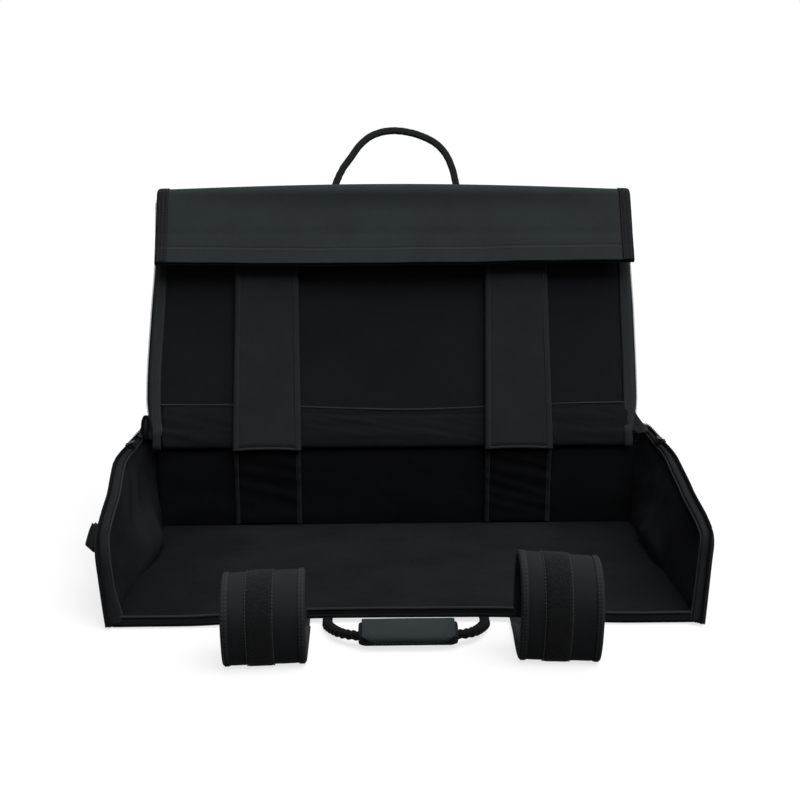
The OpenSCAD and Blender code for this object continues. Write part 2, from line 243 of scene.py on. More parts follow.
finishes = {
    "coverCloth": {**strapping, "dark": (0.0262, 0.0320, 0.0336), "light": (0.0360, 0.0440, 0.0460),
                   "thread": 0.0008, "scale": 11, "rough": 0.82, "specular": 0.05, "sheen": 0.006,
                   "weave": 0.5, "crease": 0.25},
    # lining cloth made darker: painted shade for the inner faces of the end panels
    "endLiningPaintedShade": {**lining, "dark": (0.0092, 0.0097, 0.0112), "light": (0.0130, 0.0138, 0.0156),
                  "specular": 0.02, "crease": 0.9},
    # strap cloth made darker: painted shade for the upright faces of the curled straps
    "curlClothPaintedShade": {**strapping, "dark": (0.0165, 0.0180, 0.0192), "light": (0.0232, 0.0254, 0.0270),
                  "specular": 0.05, "crease": 0.3},
    "edgeTape": {**strapping, "dark": (0.0240, 0.0252, 0.0272), "light": (0.0350, 0.0366, 0.0390)},
    "bandTape": {**strapping, "dark": (0.0300, 0.0330, 0.0345), "light": (0.0450, 0.0490, 0.0505)},
    "liningCloth": {**lining, "dark": (0.0112, 0.0118, 0.0136), "light": (0.0158, 0.0167, 0.0188)},
    # lining cloth made darker: painted shade for the back wall and the strap risers
    "wallLiningPaintedShade": {**lining, "dark": (0.0060, 0.0065, 0.0078), "light": (0.0090, 0.0097, 0.0112),
                   "specular": 0.02, "crease": 0.6},
    # lining cloth made darker: painted shade on the base floor, darker still towards both ends
    "baseLiningPaintedShade": {**lining, "dark": (0.0056, 0.0060, 0.0070), "light": (0.0136, 0.0142, 0.0160),
                   "paintedEndShade": (0.866, 0.20)},
    "cordTape": {**cord, "dark": (0.0022, 0.0023, 0.0027), "light": (0.0070, 0.0075, 0.0083)},
    "strapCloth": {**strapping, "dark": (0.0230, 0.0239, 0.0262), "light": (0.0316, 0.0328, 0.0356)},
    "bindingTape": {**tape, "dark": (0.0125, 0.0132, 0.0145), "light": (0.0205, 0.0216, 0.0232),
                    "rib": 0.0014},
    "rimTape": {**tape, "dark": (0.0086, 0.0091, 0.0100), "light": (0.0142, 0.0150, 0.0162)},
    "webbingTape": {**cord, "dark": (0.0140, 0.0152, 0.0154), "light": (0.0262, 0.0286, 0.0284),
                    "sheen": 0.005},
    "zipTape": {**tape, "dark": (0.0050, 0.0054, 0.0062), "light": (0.0092, 0.0098, 0.0108),
                "rib": 0.0010, "scale": 30, "rough": 0.75, "sheen": 0.0, "weave": 0.5, "crease": 0.1},
    "sewingThread": {**tape, "dark": (0.036, 0.041, 0.043), "light": (0.066, 0.072, 0.076),
                     "rib": 0.0004, "scale": 60, "rough": 0.6, "specular": 0.1, "sheen": 0.0,
                     "weave": 0.4, "crease": 0.0},
}


def startMaterial(name):
    material = bpy.data.materials.new(name)
    material.use_nodes = True
    tree = material.node_tree
    return material, tree, tree.nodes["Principled BSDF"], tree.nodes.new("ShaderNodeTexCoord")


def colourBetween(tree, shader, value, stops, dark, light):
    ramp = tree.nodes.new("ShaderNodeValToRGB")
    for element, stop, colour in zip(ramp.color_ramp.elements, stops, (dark, light)):
        element.position = stop
        element.color = (*colour, 1)
    tree.links.new(value, ramp.inputs[0])
    tree.links.new(ramp.outputs[0], shader.inputs["Base Color"])


def roughFrom(tree, shader, value, part, least):
    level = mathNode(tree, "ADD", mathNode(tree, "MULTIPLY", value, part), least)
    tree.links.new(level, shader.inputs["Roughness"])


def addBump(tree, shader, height, distance, strength=1.0):
    bump = tree.nodes.new("ShaderNodeBump")
    bump.inputs["Strength"].default_value = strength
    bump.inputs["Distance"].default_value = distance
    tree.links.new(height, bump.inputs["Height"])
    tree.links.new(bump.outputs[0], shader.inputs["Normal"])


def makeCloth(name, spec):
    material, tree, shader, coords = startMaterial(name)
    uvMap = tree.nodes.new("ShaderNodeUVMap")
    uvMap.uv_map = "cloth"
    pattern, mottle = tree.nodes.new("ShaderNodeGroup"), tree.nodes.new("ShaderNodeGroup")
    pattern.node_tree = weaveGroup if "thread" in spec else ribGroup
    pattern.inputs[1].default_value = spec.get("thread", spec.get("rib"))
    tree.links.new(uvMap.outputs[0], pattern.inputs["Vector"])
    mottle.node_tree = mottleGroup
    mottle.inputs["Scale"].default_value = spec["scale"]
    tree.links.new(coords.outputs["Object"], mottle.inputs["Vector"])
    threads = pattern.outputs["Shade" if "thread" in spec else "Height"]
    tone = weighted(tree, mottle.outputs["Tone"], 0.7, threads, 0.3)
    # painted shade: the cloth is darkened towards both ends, standing in for the shadow of the end panels
    if "paintedEndShade" in spec:   # darker towards both ends of the cloth
        length, reach = spec["paintedEndShade"]
        split = tree.nodes.new("ShaderNodeSeparateXYZ")
        tree.links.new(uvMap.outputs[0], split.inputs[0])
        other = mathNode(tree, "SUBTRACT", length, split.outputs[0])
        inside = mathNode(tree, "DIVIDE", mathNode(tree, "MINIMUM", split.outputs[0], other), reach)
        paintedShadeMask = mathNode(tree, "MAXIMUM", mathNode(tree, "SUBTRACT", 1, inside), 0)
        tone = mathNode(tree, "SUBTRACT", tone, mathNode(tree, "MULTIPLY", paintedShadeMask, 0.30))
    colourBetween(tree, shader, tone, (0.3, 0.7), spec["dark"], spec["light"])
    roughFrom(tree, shader, mottle.outputs["Tone"], 0.16, spec["rough"] - 0.08)
    height = weighted(tree, pattern.outputs["Height"], spec["weave"] * 0.3,
                      mottle.outputs["Crease"], spec["crease"] * 4)
    addBump(tree, shader, height, 0.0012, 0.5)
    shader.inputs["Specular IOR Level"].default_value = spec["specular"]
    shader.inputs["Sheen Weight"].default_value = spec["sheen"]
    shader.inputs["Sheen Roughness"].default_value = 0.5
    return material


def makePile(name, dark, light):
    material, tree, shader, coords = startMaterial(name)
    loops = tree.nodes.new("ShaderNodeTexVoronoi")
    loops.inputs["Scale"].default_value = 620
    tree.links.new(coords.outputs["Object"], loops.inputs["Vector"])
    tuft = noiseNode(tree, coords.outputs["Object"], Scale=260, Detail=4).outputs["Fac"]
    colourBetween(tree, shader, tuft, (0.35, 0.75), dark, light)
    roughFrom(tree, shader, tuft, 0.1, 0.88)
    addBump(tree, shader, mathNode(tree, "ADD", loops.outputs["Distance"], tuft), 0.001)
    shader.inputs["Specular IOR Level"].default_value = 0.08
    shader.inputs["Sheen Weight"].default_value = 0.05
    return material


def makeMetal(name, dark, light):
    material, tree, shader, coords = startMaterial(name)
    wear = noiseNode(tree, coords.outputs["Object"], Scale=420, Detail=5).outputs["Fac"]
    colourBetween(tree, shader, wear, (0.4, 0.72), dark, light)
    roughFrom(tree, shader, wear, 0.3, 0.40)
    shader.inputs["Metallic"].default_value = 0.5
    shader.inputs["Specular IOR Level"].default_value = 0.2
    return material


cloth = {name: makeCloth(name, spec) for name, spec in finishes.items()}
cloth["hookPile"] = makePile("hookPile", (0.0085, 0.0089, 0.0098), (0.0165, 0.0172, 0.0186))
cloth["zipMetal"] = makeMetal("zipMetal", (0.008, 0.008, 0.009), (0.05, 0.05, 0.053))
print("finishes made:", len(cloth))


# Mesh makers

def rimmedPad(across, along, place, span, sharpEnds=False):
    bm = bmesh.new()
    uvLayer = bm.loops.layers.uv.new("cloth")
    spot = {}
    for side in (0, 1):
        grid = bmesh.ops.create_grid(bm, x_segments=across, y_segments=along, size=0.5)["verts"]
        for v in grid:
            spot[v] = (v.co.x + 0.5, v.co.y + 0.5)
            v.co = place(*spot[v], 1 - 2 * side)
        for face in {f for v in grid for f in v.link_faces}:
            face.material_index = side
    rim = [e for e in bm.edges if e.is_boundary]
    bmesh.ops.bridge_loops(bm, edges=rim)
    for face in bm.faces:
        for loop in face.loops:
            s, t = spot[loop.vert]
            loop[uvLayer].uv = (s * span[0], t * span[1])
    if sharpEnds:
        for edge in rim:
            edge.smooth = abs(spot[edge.verts[0]][1] - 0.5) < 0.49
    bmesh.ops.recalc_face_normals(bm, faces=bm.faces[:])
    bm.verts.index_update()
    return bm, sorted({v.index for e in rim for v in e.verts})


def padMesh(*sizes):
    return rimmedPad(*sizes)[0]


def tubeMesh(around, along, place, span):
    bm = bmesh.new()
    uvLayer = bm.loops.layers.uv.new("cloth")
    spot = {}
    for v in bmesh.ops.create_grid(bm, x_segments=around, y_segments=along, size=0.5)["verts"]:
        spot[v] = (v.co.x + 0.5, v.co.y + 0.5)
    for face in bm.faces:
        for loop in face.loops:
            s, t = spot[loop.vert]
            loop[uvLayer].uv = (s * span[0], t * span[1])
    for v, (s, t) in spot.items():
        v.co = place(s, t)
    bmesh.ops.remove_doubles(bm, verts=bm.verts[:], dist=1e-6)
    bmesh.ops.holes_fill(bm, edges=[e for e in bm.edges if e.is_boundary], sides=0)
    bmesh.ops.recalc_face_normals(bm, faces=bm.faces[:])
    return bm


def roundedLoop(s, width, depth, square=0.55):
    c, d = math.cos(2 * math.pi * s), math.sin(2 * math.pi * s)
    return (width / 2 * math.copysign(abs(c) ** square, c), depth / 2 * math.copysign(abs(d) ** square, d))


def soften(obj):
    soft = obj.modifiers.new("softer", "SUBSURF")
    soft.levels = soft.render_levels = 1


def joinMeshes(parts):
    whole = bmesh.new()
    for bm in parts:
        spare = bpy.data.meshes.new("spare")
        bm.to_mesh(spare)
        bm.free()
        whole.from_mesh(spare)
        bpy.data.meshes.remove(spare)
    return whole


def newPiece(name, bm, finish, slot, body=None, replaces=(), matrix=None, backFinish=None, subdivide=0):
    bm = joinMeshes(bm) if isinstance(bm, list) else bm
    if matrix is not None:
        bm.transform(matrix)
        if matrix.determinant() < 0:
            bmesh.ops.reverse_faces(bm, faces=bm.faces[:])
    mesh = bpy.data.meshes.new(name)
    bm.to_mesh(mesh)
    bm.free()
    obj = bpy.data.objects.new(name, mesh)
    scene.collection.objects.link(obj)
    mesh.materials.append(cloth[finish])
    if backFinish:
        mesh.materials.append(cloth[backFinish])
    for polygon in mesh.polygons:
        polygon.use_smooth = True
        polygon.material_index *= bool(backFinish)
    if subdivide:
        soften(obj)
    if body:
        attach(obj, body)
    if replaces:
        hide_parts(*replaces)
    return obj


def puff(obj, rim, cap, pressure=4.0, frames=20):
    pins = obj.vertex_groups.new(name="sewnRim")
    pins.add(rim, 1.0, "REPLACE")
    start = [v.co.copy() for v in obj.data.vertices]
    sim = obj.modifiers.new("filling", "CLOTH")
    sim.settings.quality = 4
    sim.settings.use_pressure = True
    sim.settings.uniform_pressure_force = pressure
    sim.settings.effector_weights.gravity = 0
    sim.settings.vertex_group_mass = "sewnRim"
    sim.point_cache.frame_start, sim.point_cache.frame_end = 1, frames
    for step in range(1, frames + 1):
        scene.frame_set(step)
    dressed = obj.evaluated_get(bpy.context.evaluated_depsgraph_get())
    swollen = [v.co.copy() for v in dressed.data.vertices]
    obj.modifiers.remove(sim)
    scene.frame_set(1)
    for v, before, after in zip(obj.data.vertices, start, swollen):
        move = after - before
        v.co = before + move * min(1.0, cap / max(move.length, 1e-9))
    obj.vertex_groups.remove(pins)
    soften(obj)


def stuffedPad(name, spec, place, span, finish, slot, **more):
    bm, rim = rimmedPad(*spec["cells"], place, span)
    pad = newPiece(name, bm, finish, slot, **more)
    puff(pad, rim, spec["puff"])
    return pad


stitchSpec = {"step": 0.0052, "size": (0.0034, 0.0011, 0.0009)}
tapeStitch = {"step": 0.0046, "size": (0.0042, 0.0016, 0.0011)}   # heavier rows beside a hook strip
runLength = 40   # stitches made at a time, because short runs keep the operators quick


def stitchRow(parts, place, length, spec=stitchSpec):
    # place(t) gives a point on the cloth, the way along the seam and the way out of the cloth
    count = max(int(length / spec["step"]), 2)
    size = Matrix.Diagonal((*(0.5 * k for k in spec["size"]), 1))
    for first in range(0, count, runLength):
        bm = bmesh.new()
        uvLayer = bm.loops.layers.uv.new("cloth")
        for i in range(first, min(first + runLength, count)):
            spot, along, out = place((i + 0.5) / count)
            along, out = along.normalized(), out.normalized()
            turn = Matrix((along, out.cross(along), out)).transposed().to_4x4()
            bmesh.ops.create_uvsphere(bm, u_segments=6, v_segments=4, radius=1,
                                      matrix=Matrix.Translation(spot) @ turn @ size)
        for face in bm.faces:
            for loop in face.loops:
                loop[uvLayer].uv = (loop.vert.co.x, loop.vert.co.y + loop.vert.co.z)
        parts.append(bm)


toothSpec = {"step": 0.0030, "size": (0.0019, 0.0050, 0.0030)}


def toothRow(parts, place, length):
    stitchRow(parts, place, length, toothSpec)


# Lid

lidSpec = {"halfWidth": 0.433, "thick": 0.012, "top": 0.434, "weltAt": 0.0570, "weltWave": 0.0110,
           "inset": 0.0185, "zipLow": 0.012, "zipRun": 0.418, "bandLow": 0.001, "bandRun": 0.4325,
           "foot": 0.004, "backFoot": 0.002, "backRun": 0.432, "trim": {-1: -0.001, 1: 0.003},
           "bulge": {-1: 0.0110, 1: 0.0035}, "cells": (76, 36), "puff": 0.0022}


def lidEdge(u, side):
    edge = lidSpec["halfWidth"] - 0.001 - lidSpec["trim"][side]
    return edge + lidSpec["bulge"][side] * hump(u, 0.08, 0.15) - 0.006 * hump(u, -0.005, 0.02)


def weltLine(x):
    return lidSpec["weltAt"] - lidSpec["weltWave"] * hump(x, 0.02, 0.20) + 0.0008 * ripple(9 * x, 0, 0, 4)


def sideOf(x):
    return 1 if x > 0 else -1


def makeLid():
    span = (2 * lidSpec["halfWidth"], lidSpec["top"])

    def place(s, t, side):
        x, u = 2 * s - 1, lidSpec["foot"] + (lidSpec["top"] - lidSpec["foot"]) * t
        soft = rimEase(s, t, span, 0.02)
        n = lidSpec["thick"] / 2 + side * (0.0028 + 0.0018 * soft)
        if side > 0:
            n += (0.0013 * ripple(2 * x, 0, 9 * u, 1) + 0.0007 * ripple(7 * x, 0, 11 * u, 2)) * soft
        return lidPoint(x * lidEdge(u, sideOf(x)), n, u)
    panel = stuffedPad("lidPanel", lidSpec, place, span, "liningCloth", "lining_cloth",
                       replaces=("lid_foam", "spine_foam", "lid_lining"), matrix=lidPlace,
                       backFinish="coverCloth")
    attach(panel, "lid")

    def backPlace(s, t, side):
        x, u = 2 * s - 1, lidSpec["backFoot"] + lidSpec["backRun"] * t
        wave = 0.0008 * ripple(3 * x, 0, 7 * u, 6) * rimEase(s, t, span, 0.03)
        return lidPoint(x * lidEdge(u, sideOf(x)), -0.0004 - side * 0.0007 - wave, u)
    cover = newPiece("lidBackCover", padMesh(60, 32, backPlace, span), "coverCloth", "cover_cloth", "lid",
                     ("lid_cover",), matrix=lidPlace, subdivide=1)


def makeLidTrim():
    ends = [side * (lidEdge(lidSpec["weltAt"], side) - lidSpec["inset"] + 0.002) for side in (-1, 1)]

    def weltPlace(s, t):
        x = ends[0] + (ends[1] - ends[0]) * t
        c, d = roundedLoop(s, 0.0042, 0.0040, 1.0)
        return lidPoint(x, 0.0118 + c, weltLine(x) + d)
    newPiece("lidWelt", tubeMesh(10, 160, weltPlace, (0.011, ends[1] - ends[0])), "coverCloth",
             "binding_tape", "lid", ("lid_welt",), matrix=lidPlace)
    walk, around = softWalker([(-lidSpec["inset"], 0.0125), (-0.009, 0.0134), (-0.001, 0.0130),
                               (0.0026, 0.0098), (0.0030, 0.006), (0.0024, 0.002), (-0.001, -0.0010),
                               (-0.012, -0.0016)], 4)
    low, run, zipLow, zipRun = (lidSpec[k] for k in ("bandLow", "bandRun", "zipLow", "zipRun"))
    bands, zips, stitches, teeth = [], [], [], []
    for side in (-1, 1):
        def bandPlace(s, t, face, side=side):
            u = low + run * t
            spot = aside(walk, s, -0.0007 * face)
            return lidPoint(side * (lidEdge(u, side) + spot.x), spot.y, u)
        bands.append(padMesh(14, 96, bandPlace, (around, run)))

        def zipAt(u, side=side):
            show = 0.0050 - 0.0030 * ease((u - 0.22) / 0.12) - 0.003 * (1 - ease((u - 0.02) / 0.05))
            return lidEdge(u, side) + 0.0022 + show

        def zipPlace(s, t, face, side=side):
            u = zipLow + zipRun * t
            edge = lidEdge(u, side) + 0.001
            return lidPoint(side * (edge + (zipAt(u) - edge) * s), 0.0055 - 0.003 * s + 0.0008 * face, u)
        zips.append(padMesh(3, 90, zipPlace, (0.005, zipRun)))

        def toothAt(t, side=side, zipAt=zipAt):
            u = zipLow + zipRun * t
            return lidPoint(side * (zipAt(u) + 0.0010), 0.0028, u), upWay, side * rightWay
        toothRow(teeth, toothAt, zipRun)
        for inset, n in ((lidSpec["inset"] - 0.0025, 0.0136), (0.0035, 0.0142)):
            def seamAt(t, side=side, inset=inset, n=n):
                u = low + run * t
                return lidPoint(side * (lidEdge(u, side) - inset), n, u), upWay, frontWay
            stitchRow(stitches, seamAt, run)
    newPiece("lidSideBands", bands, "bandTape", "cover_cloth", "lid", ("lid_binding",), matrix=lidPlace)
    newPiece("lidZipTape", zips, "zipTape", "zip_tape", "lid", ("lid_zip",), matrix=lidPlace)
    newPiece("lidZipTeeth", teeth, "zipTape", "zip_tape", "lid", matrix=lidPlace)
    newPiece("lidStitches", stitches, "sewingThread", "cover_cloth", "lid", matrix=lidPlace)


makeLid()
makeLidTrim()
print("lid made")


# Front flap and the fold that joins it to the lid

flapSpec = {"halfWidth": 0.4305, "near": 0.006, "far": 0.1335, "middle": 0.0078, "hem": 0.030,
            "band": 0.019, "face": 0.0134, "arch": 0.0110, "cells": (70, 12), "puff": 0.0008,
            "rows": [(0, 0), (0.60, 0.81), (0.82, 0.89), (1, 1)],
            "bandFrom": 0.20, "bandRun": 0.805, "bandLength": 0.16, "seamFrom": 0.24, "seamRun": 0.755,
            "seamLength": 0.15, "coverWidth": 0.86, "turnSteps": 16, "downSteps": 30}


def flapBottom(x):
    return flapSpec["far"] - 0.0025 + 0.0030 * math.cos(5 * x + 0.6) + 0.0012 * ripple(11 * x, 0, 0, 7)


def flapDent(x, z):
    return -0.0016 * (hump(x, -0.100, 0.018) + hump(x, 0.088, 0.018)) * hump(z, 0.082, 0.022)


def makeFlap():
    span = (2 * flapSpec["halfWidth"], flapSpec["far"])

    def place(s, t, side):
        x = (2 * s - 1) * flapSpec["halfWidth"]
        z = flapSpec["near"] + (flapBottom(x) - flapSpec["near"] - 0.001) * t
        soft = rimEase(s, t, span, 0.012)
        return Vector((x, flapSpec["middle"] + side * (0.0022 + 0.0010 * soft), z))
    flap = stuffedPad("flapPad", flapSpec, place, span, "coverCloth", "lining_cloth",
                      replaces=("flap_foam", "flap_lining"), matrix=flapPlace, backFinish="liningCloth")
    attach(flap, "front_flap")

    def tapePlace(s, t, side):
        x = (2 * s - 1) * (flapSpec["halfWidth"] + 0.002)
        return Vector((x, 0.0095 + 0.0009 * side, flapBottom(x) - 0.003 + 0.0060 * t))
    newPiece("flapZipTape", padMesh(100, 3, tapePlace, (0.87, 0.006)), "zipTape", "zip_tape", "front_flap",
             ("flap_zip",), matrix=flapPlace)


def makeFold():
    # one cover cloth runs from the back of the lid over the fold and down the flap
    centre = Vector((-panelSpec["foldOff"], panelSpec["lidLength"]))
    fold, face = math.radians(panelSpec["flapFold"]), flapSpec["face"]
    down = Vector((-math.sin(fold), math.cos(fold)))
    out = Vector((math.cos(fold), math.sin(fold)))
    points = [centre + Vector((face + 0.0020, -0.030 + 0.010 * k)) for k in range(3)]
    turns, drops = flapSpec["turnSteps"], flapSpec["downSteps"]
    points += [centre + (face + 0.0020 * (1 - k / turns))
               * Vector((math.cos(fold * k / turns), math.sin(fold * k / turns))) for k in range(turns + 1)]
    lead = pathWalker(points)[1]
    points += [centre + out * face + down * flapSpec["far"] * k / drops for k in range(1, drops + 1)]
    walk, length = pathWalker(points)

    def at(x, t, lift):
        run = t * (lead + flapBottom(x))
        here, along = walk(run / length)
        z, away = run - lead, -beside(along)
        arch = flapSpec["arch"] * math.cos(math.pi * x / 0.88)
        lift += arch * hump(z, -0.022, 0.028) * ease((z + 0.046) / 0.018)
        lift += (flapDent(x, z) - 0.0006 * hump(z, 0.075, 0.007) + 0.0010 * ripple(6 * x, 0, 14 * z, 8)
                 + 0.0005 * ripple(20 * x, 0, 9 * z, 2)) * ease((z + 0.01) / 0.03)
        rise = z - flapBottom(x) + flapSpec["hem"]
        lift += 0.0007 * ease(rise / 0.005) - 0.0006 * hump(rise, 0.0004, 0.0016)  # sewn hem and its seam
        return onSection(x, here + away * lift), onSection(0, along), onSection(0, away)

    def place(s, t, side):
        return at((2 * s - 1) * (flapSpec["halfWidth"] - 0.001), lineValue(flapSpec["rows"], t),
                  0.0007 * side)[0]
    flatCloth = (flapSpec["coverWidth"], length)
    cover = newPiece("flapCover", padMesh(90, 58, place, flatCloth), "coverCloth", "cover_cloth",
                     replaces=("fold_piping", "flap_cover", "flap_hem"), matrix=lidPlace, subdivide=1)
    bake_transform(cover)
    section, around = softWalker([(-flapSpec["band"], 0.0012), (-0.009, 0.0017), (-0.001, 0.0012),
                                  (0.0020, -0.002), (0.0020, -0.0055), (-0.001, -0.0088),
                                  (-0.012, -0.0094)], 4)
    bands, stitches = [], []
    for side in (-1, 1):
        def bandPlace(s, t, turn, side=side):
            spot = aside(section, s, -0.0006 * turn)
            down = flapSpec["bandFrom"] + flapSpec["bandRun"] * t
            return at(side * (flapSpec["halfWidth"] + spot.x), down, spot.y)[0]
        bands.append(padMesh(14, 44, bandPlace, (around, flapSpec["bandLength"])))
        for inset in (flapSpec["band"] - 0.002, 0.0105, 0.0035):
            def seamAt(t, x=side * (flapSpec["halfWidth"] - inset)):
                return at(x, flapSpec["seamFrom"] + flapSpec["seamRun"] * t, 0.0022)
            stitchRow(stitches, seamAt, flapSpec["seamLength"])
    edging = newPiece("flapSideBands", bands, "bindingTape", "binding_tape", matrix=lidPlace)
    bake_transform(edging)
    reach = flapSpec["halfWidth"] - flapSpec["band"] - 0.002
    for up in (flapSpec["hem"] - 0.0045, 0.0035):
        def hemAt(t, level=1 - up / (lead + flapSpec["far"])):
            return at((2 * t - 1) * reach, level, 0.0008)[0], rightWay, onSection(0, out)
        stitchRow(stitches, hemAt, 2 * reach)
    rows = newPiece("flapStitches", stitches, "sewingThread", "cover_cloth", matrix=lidPlace)
    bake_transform(rows)


makeFlap()
makeFold()
print("front flap made")


# Back wall, base and the cloth across the hinge

wallSpec = {"halfWidth": 0.434, "inner": 0.2246, "outer": 0.2366, "low": 0.002, "high": 0.1595,
            "cells": (72, 14), "puff": 0.0020}
baseSpec = {"halfWidth": 0.433, "front": -0.2250, "back": 0.2255, "top": 0.0136, "cells": (70, 40),
            "puff": 0.0012, "bow": 0.0140, "skew": 0.008, "rise": 0.0040, "coverHalf": 0.4385,
            "coverFront": -0.2262, "coverBack": 0.2366, "coverFlat": (0.877, 0.463), "stripHalf": 0.432,
            "stripLow": 0.0010, "stripHigh": 0.0125, "pipingHalf": 0.430, "pipingAt": 0.0152,
            "zipHalf": 0.422, "zipAt": 0.0062, "toothHalf": 0.421, "cordX": 0.4384, "cordFront": -0.224,
            "cordRun": 0.447}


def frontBow(x):
    return baseSpec["bow"] * (1 - ease((abs(x) - 0.10) / 0.24)) - baseSpec["skew"] * ease((x + 0.15) / 0.6)


def makeBackWall():
    span = (2 * wallSpec["halfWidth"], wallSpec["high"])

    def place(s, t, side):
        x, z = (2 * s - 1) * wallSpec["halfWidth"], wallSpec["low"] + (wallSpec["high"] - wallSpec["low"]) * t
        soft = rimEase(s, t, span, 0.02)
        y = (wallSpec["inner"] + wallSpec["outer"]) / 2 - side * (0.0030 + 0.0018 * soft)
        if side > 0:
            y -= (0.0018 * ripple(5 * x, 0, 22 * z, 1)
                  + 0.0008 * ripple(17 * x + 30 * z, 0, 30 * z, 5)) * soft
        return Vector((x, y, z))
    # the wall's inner face is the darker lining, painted shade
    wall = stuffedPad("backWall", wallSpec, place, span, "wallLiningPaintedShade", "lining_cloth",
                      replaces=("back_cover", "back_foam", "back_lining"), backFinish="coverCloth")
    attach(wall, "bag_body")


def frontRise(x):
    return baseSpec["rise"] * (1 - ease((abs(x) - 0.14) / 0.18))


def makeBase():
    span = (2 * baseSpec["halfWidth"], baseSpec["back"] - baseSpec["front"])

    def place(s, t, side):
        x = (2 * s - 1) * baseSpec["halfWidth"]
        front = baseSpec["front"] + frontBow(x)
        y = front + (baseSpec["back"] - front) * t
        soft = rimEase(s, t, span, 0.022)
        rise = frontRise(x) * ease((front + 0.12 - y) / 0.12)
        if side < 0:
            return Vector((x, y, 0.0024 + rise))
        z = 0.0096 + (baseSpec["top"] - 0.0108) * soft + rise
        creases = (0.0009 * ripple(4 * x, 9 * y, 0, 2)
                   + 0.0011 * ripple(7 * x, 42 * y, 0, 3) * hump(x, 0.1, 0.45))
        z += creases * soft + 0.002 * ease((y - 0.15) / 0.07)
        return Vector((x, y, z))
    # the base's lining is darker, painted shade, and darker again towards both ends
    pad = stuffedPad("basePad", baseSpec, place, span, "baseLiningPaintedShade", "lining_cloth",
                     replaces=("base_board", "base_foam", "base_lining"), backFinish="coverCloth")
    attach(pad, "bag_body")

    def coverPlace(s, t, side):
        x = (2 * s - 1) * baseSpec["coverHalf"]
        front = baseSpec["coverFront"] + frontBow(x)
        y = front + (baseSpec["coverBack"] - front) * t
        return Vector((x, y, 0.0012 + 0.0008 * side + frontRise(x) * ease((front + 0.12 - y) / 0.12)))
    cover = newPiece("baseCover", padMesh(60, 30, coverPlace, baseSpec["coverFlat"]), "coverCloth",
                     "cover_cloth", "bag_body", ("base_cover",))

    def stripPlace(s, t, side):
        x = (2 * s - 1) * baseSpec["stripHalf"]
        z = baseSpec["stripLow"] + baseSpec["stripHigh"] * t + frontRise(x)
        belly = 0.003 * (1 - t) * (1 - frontRise(x) / baseSpec["rise"])
        y = -0.2264 + frontBow(x) - belly - 0.0007 * side - 0.0012 * math.sin(math.pi * t)
        return Vector((x, y + 0.0005 * ripple(14 * x, 0, 60 * z, 2), z))
    newPiece("baseFrontStrip", padMesh(110, 5, stripPlace, (0.85, 0.008)), "zipTape", "cover_cloth",
             "bag_body", ("base_front_strip",), subdivide=1)

    def pipingPlace(s, t):
        x = (2 * t - 1) * baseSpec["pipingHalf"]
        c, d = roundedLoop(s, 0.0050, 0.0042, 0.9)
        return Vector((x, baseSpec["coverFront"] + frontBow(x) + c,
                       baseSpec["pipingAt"] + frontRise(x) + 0.0006 * ripple(13 * x, 0, 0, 4) + d))
    newPiece("baseFrontPiping", tubeMesh(12, 150, pipingPlace, (0.017, 0.852)), "strapCloth",
             "cover_cloth", "bag_body", ("base_front_piping",))

    def zipPlace(s, t, side):
        x = (2 * s - 1) * baseSpec["zipHalf"]
        return Vector((x, -0.2270 + frontBow(x) - 0.005 * t,
                       baseSpec["zipAt"] + frontRise(x) + 0.0009 * side))
    newPiece("frontZipTape", padMesh(100, 2, zipPlace, (2 * baseSpec["zipHalf"], 0.005)), "zipTape",
             "zip_tape", "bag_body", ("front_zip",))
    teeth = []

    def toothAt(t):
        x = (2 * t - 1) * baseSpec["toothHalf"]
        return Vector((x, -0.2330 + frontBow(x), baseSpec["zipAt"] + frontRise(x))), rightWay, frontWay
    toothRow(teeth, toothAt, 2 * baseSpec["toothHalf"])
    newPiece("frontZipTeeth", teeth, "zipTape", "zip_tape", "bag_body")
    cords = []
    for side in (-1, 1):
        def cordPlace(s, t, side=side):
            c, d = roundedLoop(s, 0.0036, 0.0036, 1.0)
            return Vector((side * baseSpec["cordX"] + c, baseSpec["cordFront"] + baseSpec["cordRun"] * t,
                           0.0034 + d))
        cords.append(tubeMesh(10, 60, cordPlace, (0.013, baseSpec["cordRun"])))
    newPiece("baseSidePiping", cords, "bindingTape", "binding_tape", "bag_body", ("base_side_piping",))


def lidToFrame(n, u):
    spot = lidPlace @ lidPoint(0, n, u)
    return Vector((spot.y, spot.z))


# paths across the hinge: first up the wall (depth, height), then up the lid (out of it, along it)
hingeSpec = {
    "inner": ([(0.2252, 0.1552), (0.2214, 0.1556), (0.2202, 0.1598), (0.2208, 0.1655), (0.2222, 0.1715)],
              [(0.0140, 0.002), (0.0136, 0.018), (0.0138, 0.036), (0.0120, 0.055)]),
    "outer": ([(0.2362, 0.138), (0.2376, 0.150), (0.2390, 0.163), (0.2400, 0.173)],
              [(-0.0026, 0.006), (-0.0022, 0.018), (-0.0016, 0.030)]),
    "bend": {"start": (0, 0.231, 0.158), "end": (0, 0.2405, 0.190)},
    "taper": 0.020, "bandX": {-1: 0.4240, 1: 0.4130}, "bandWidth": 0.0155,
}


def hingePath(wall, lid):
    return smoothPath(flat(wall) + [lidToFrame(*p) for p in lid], 5)


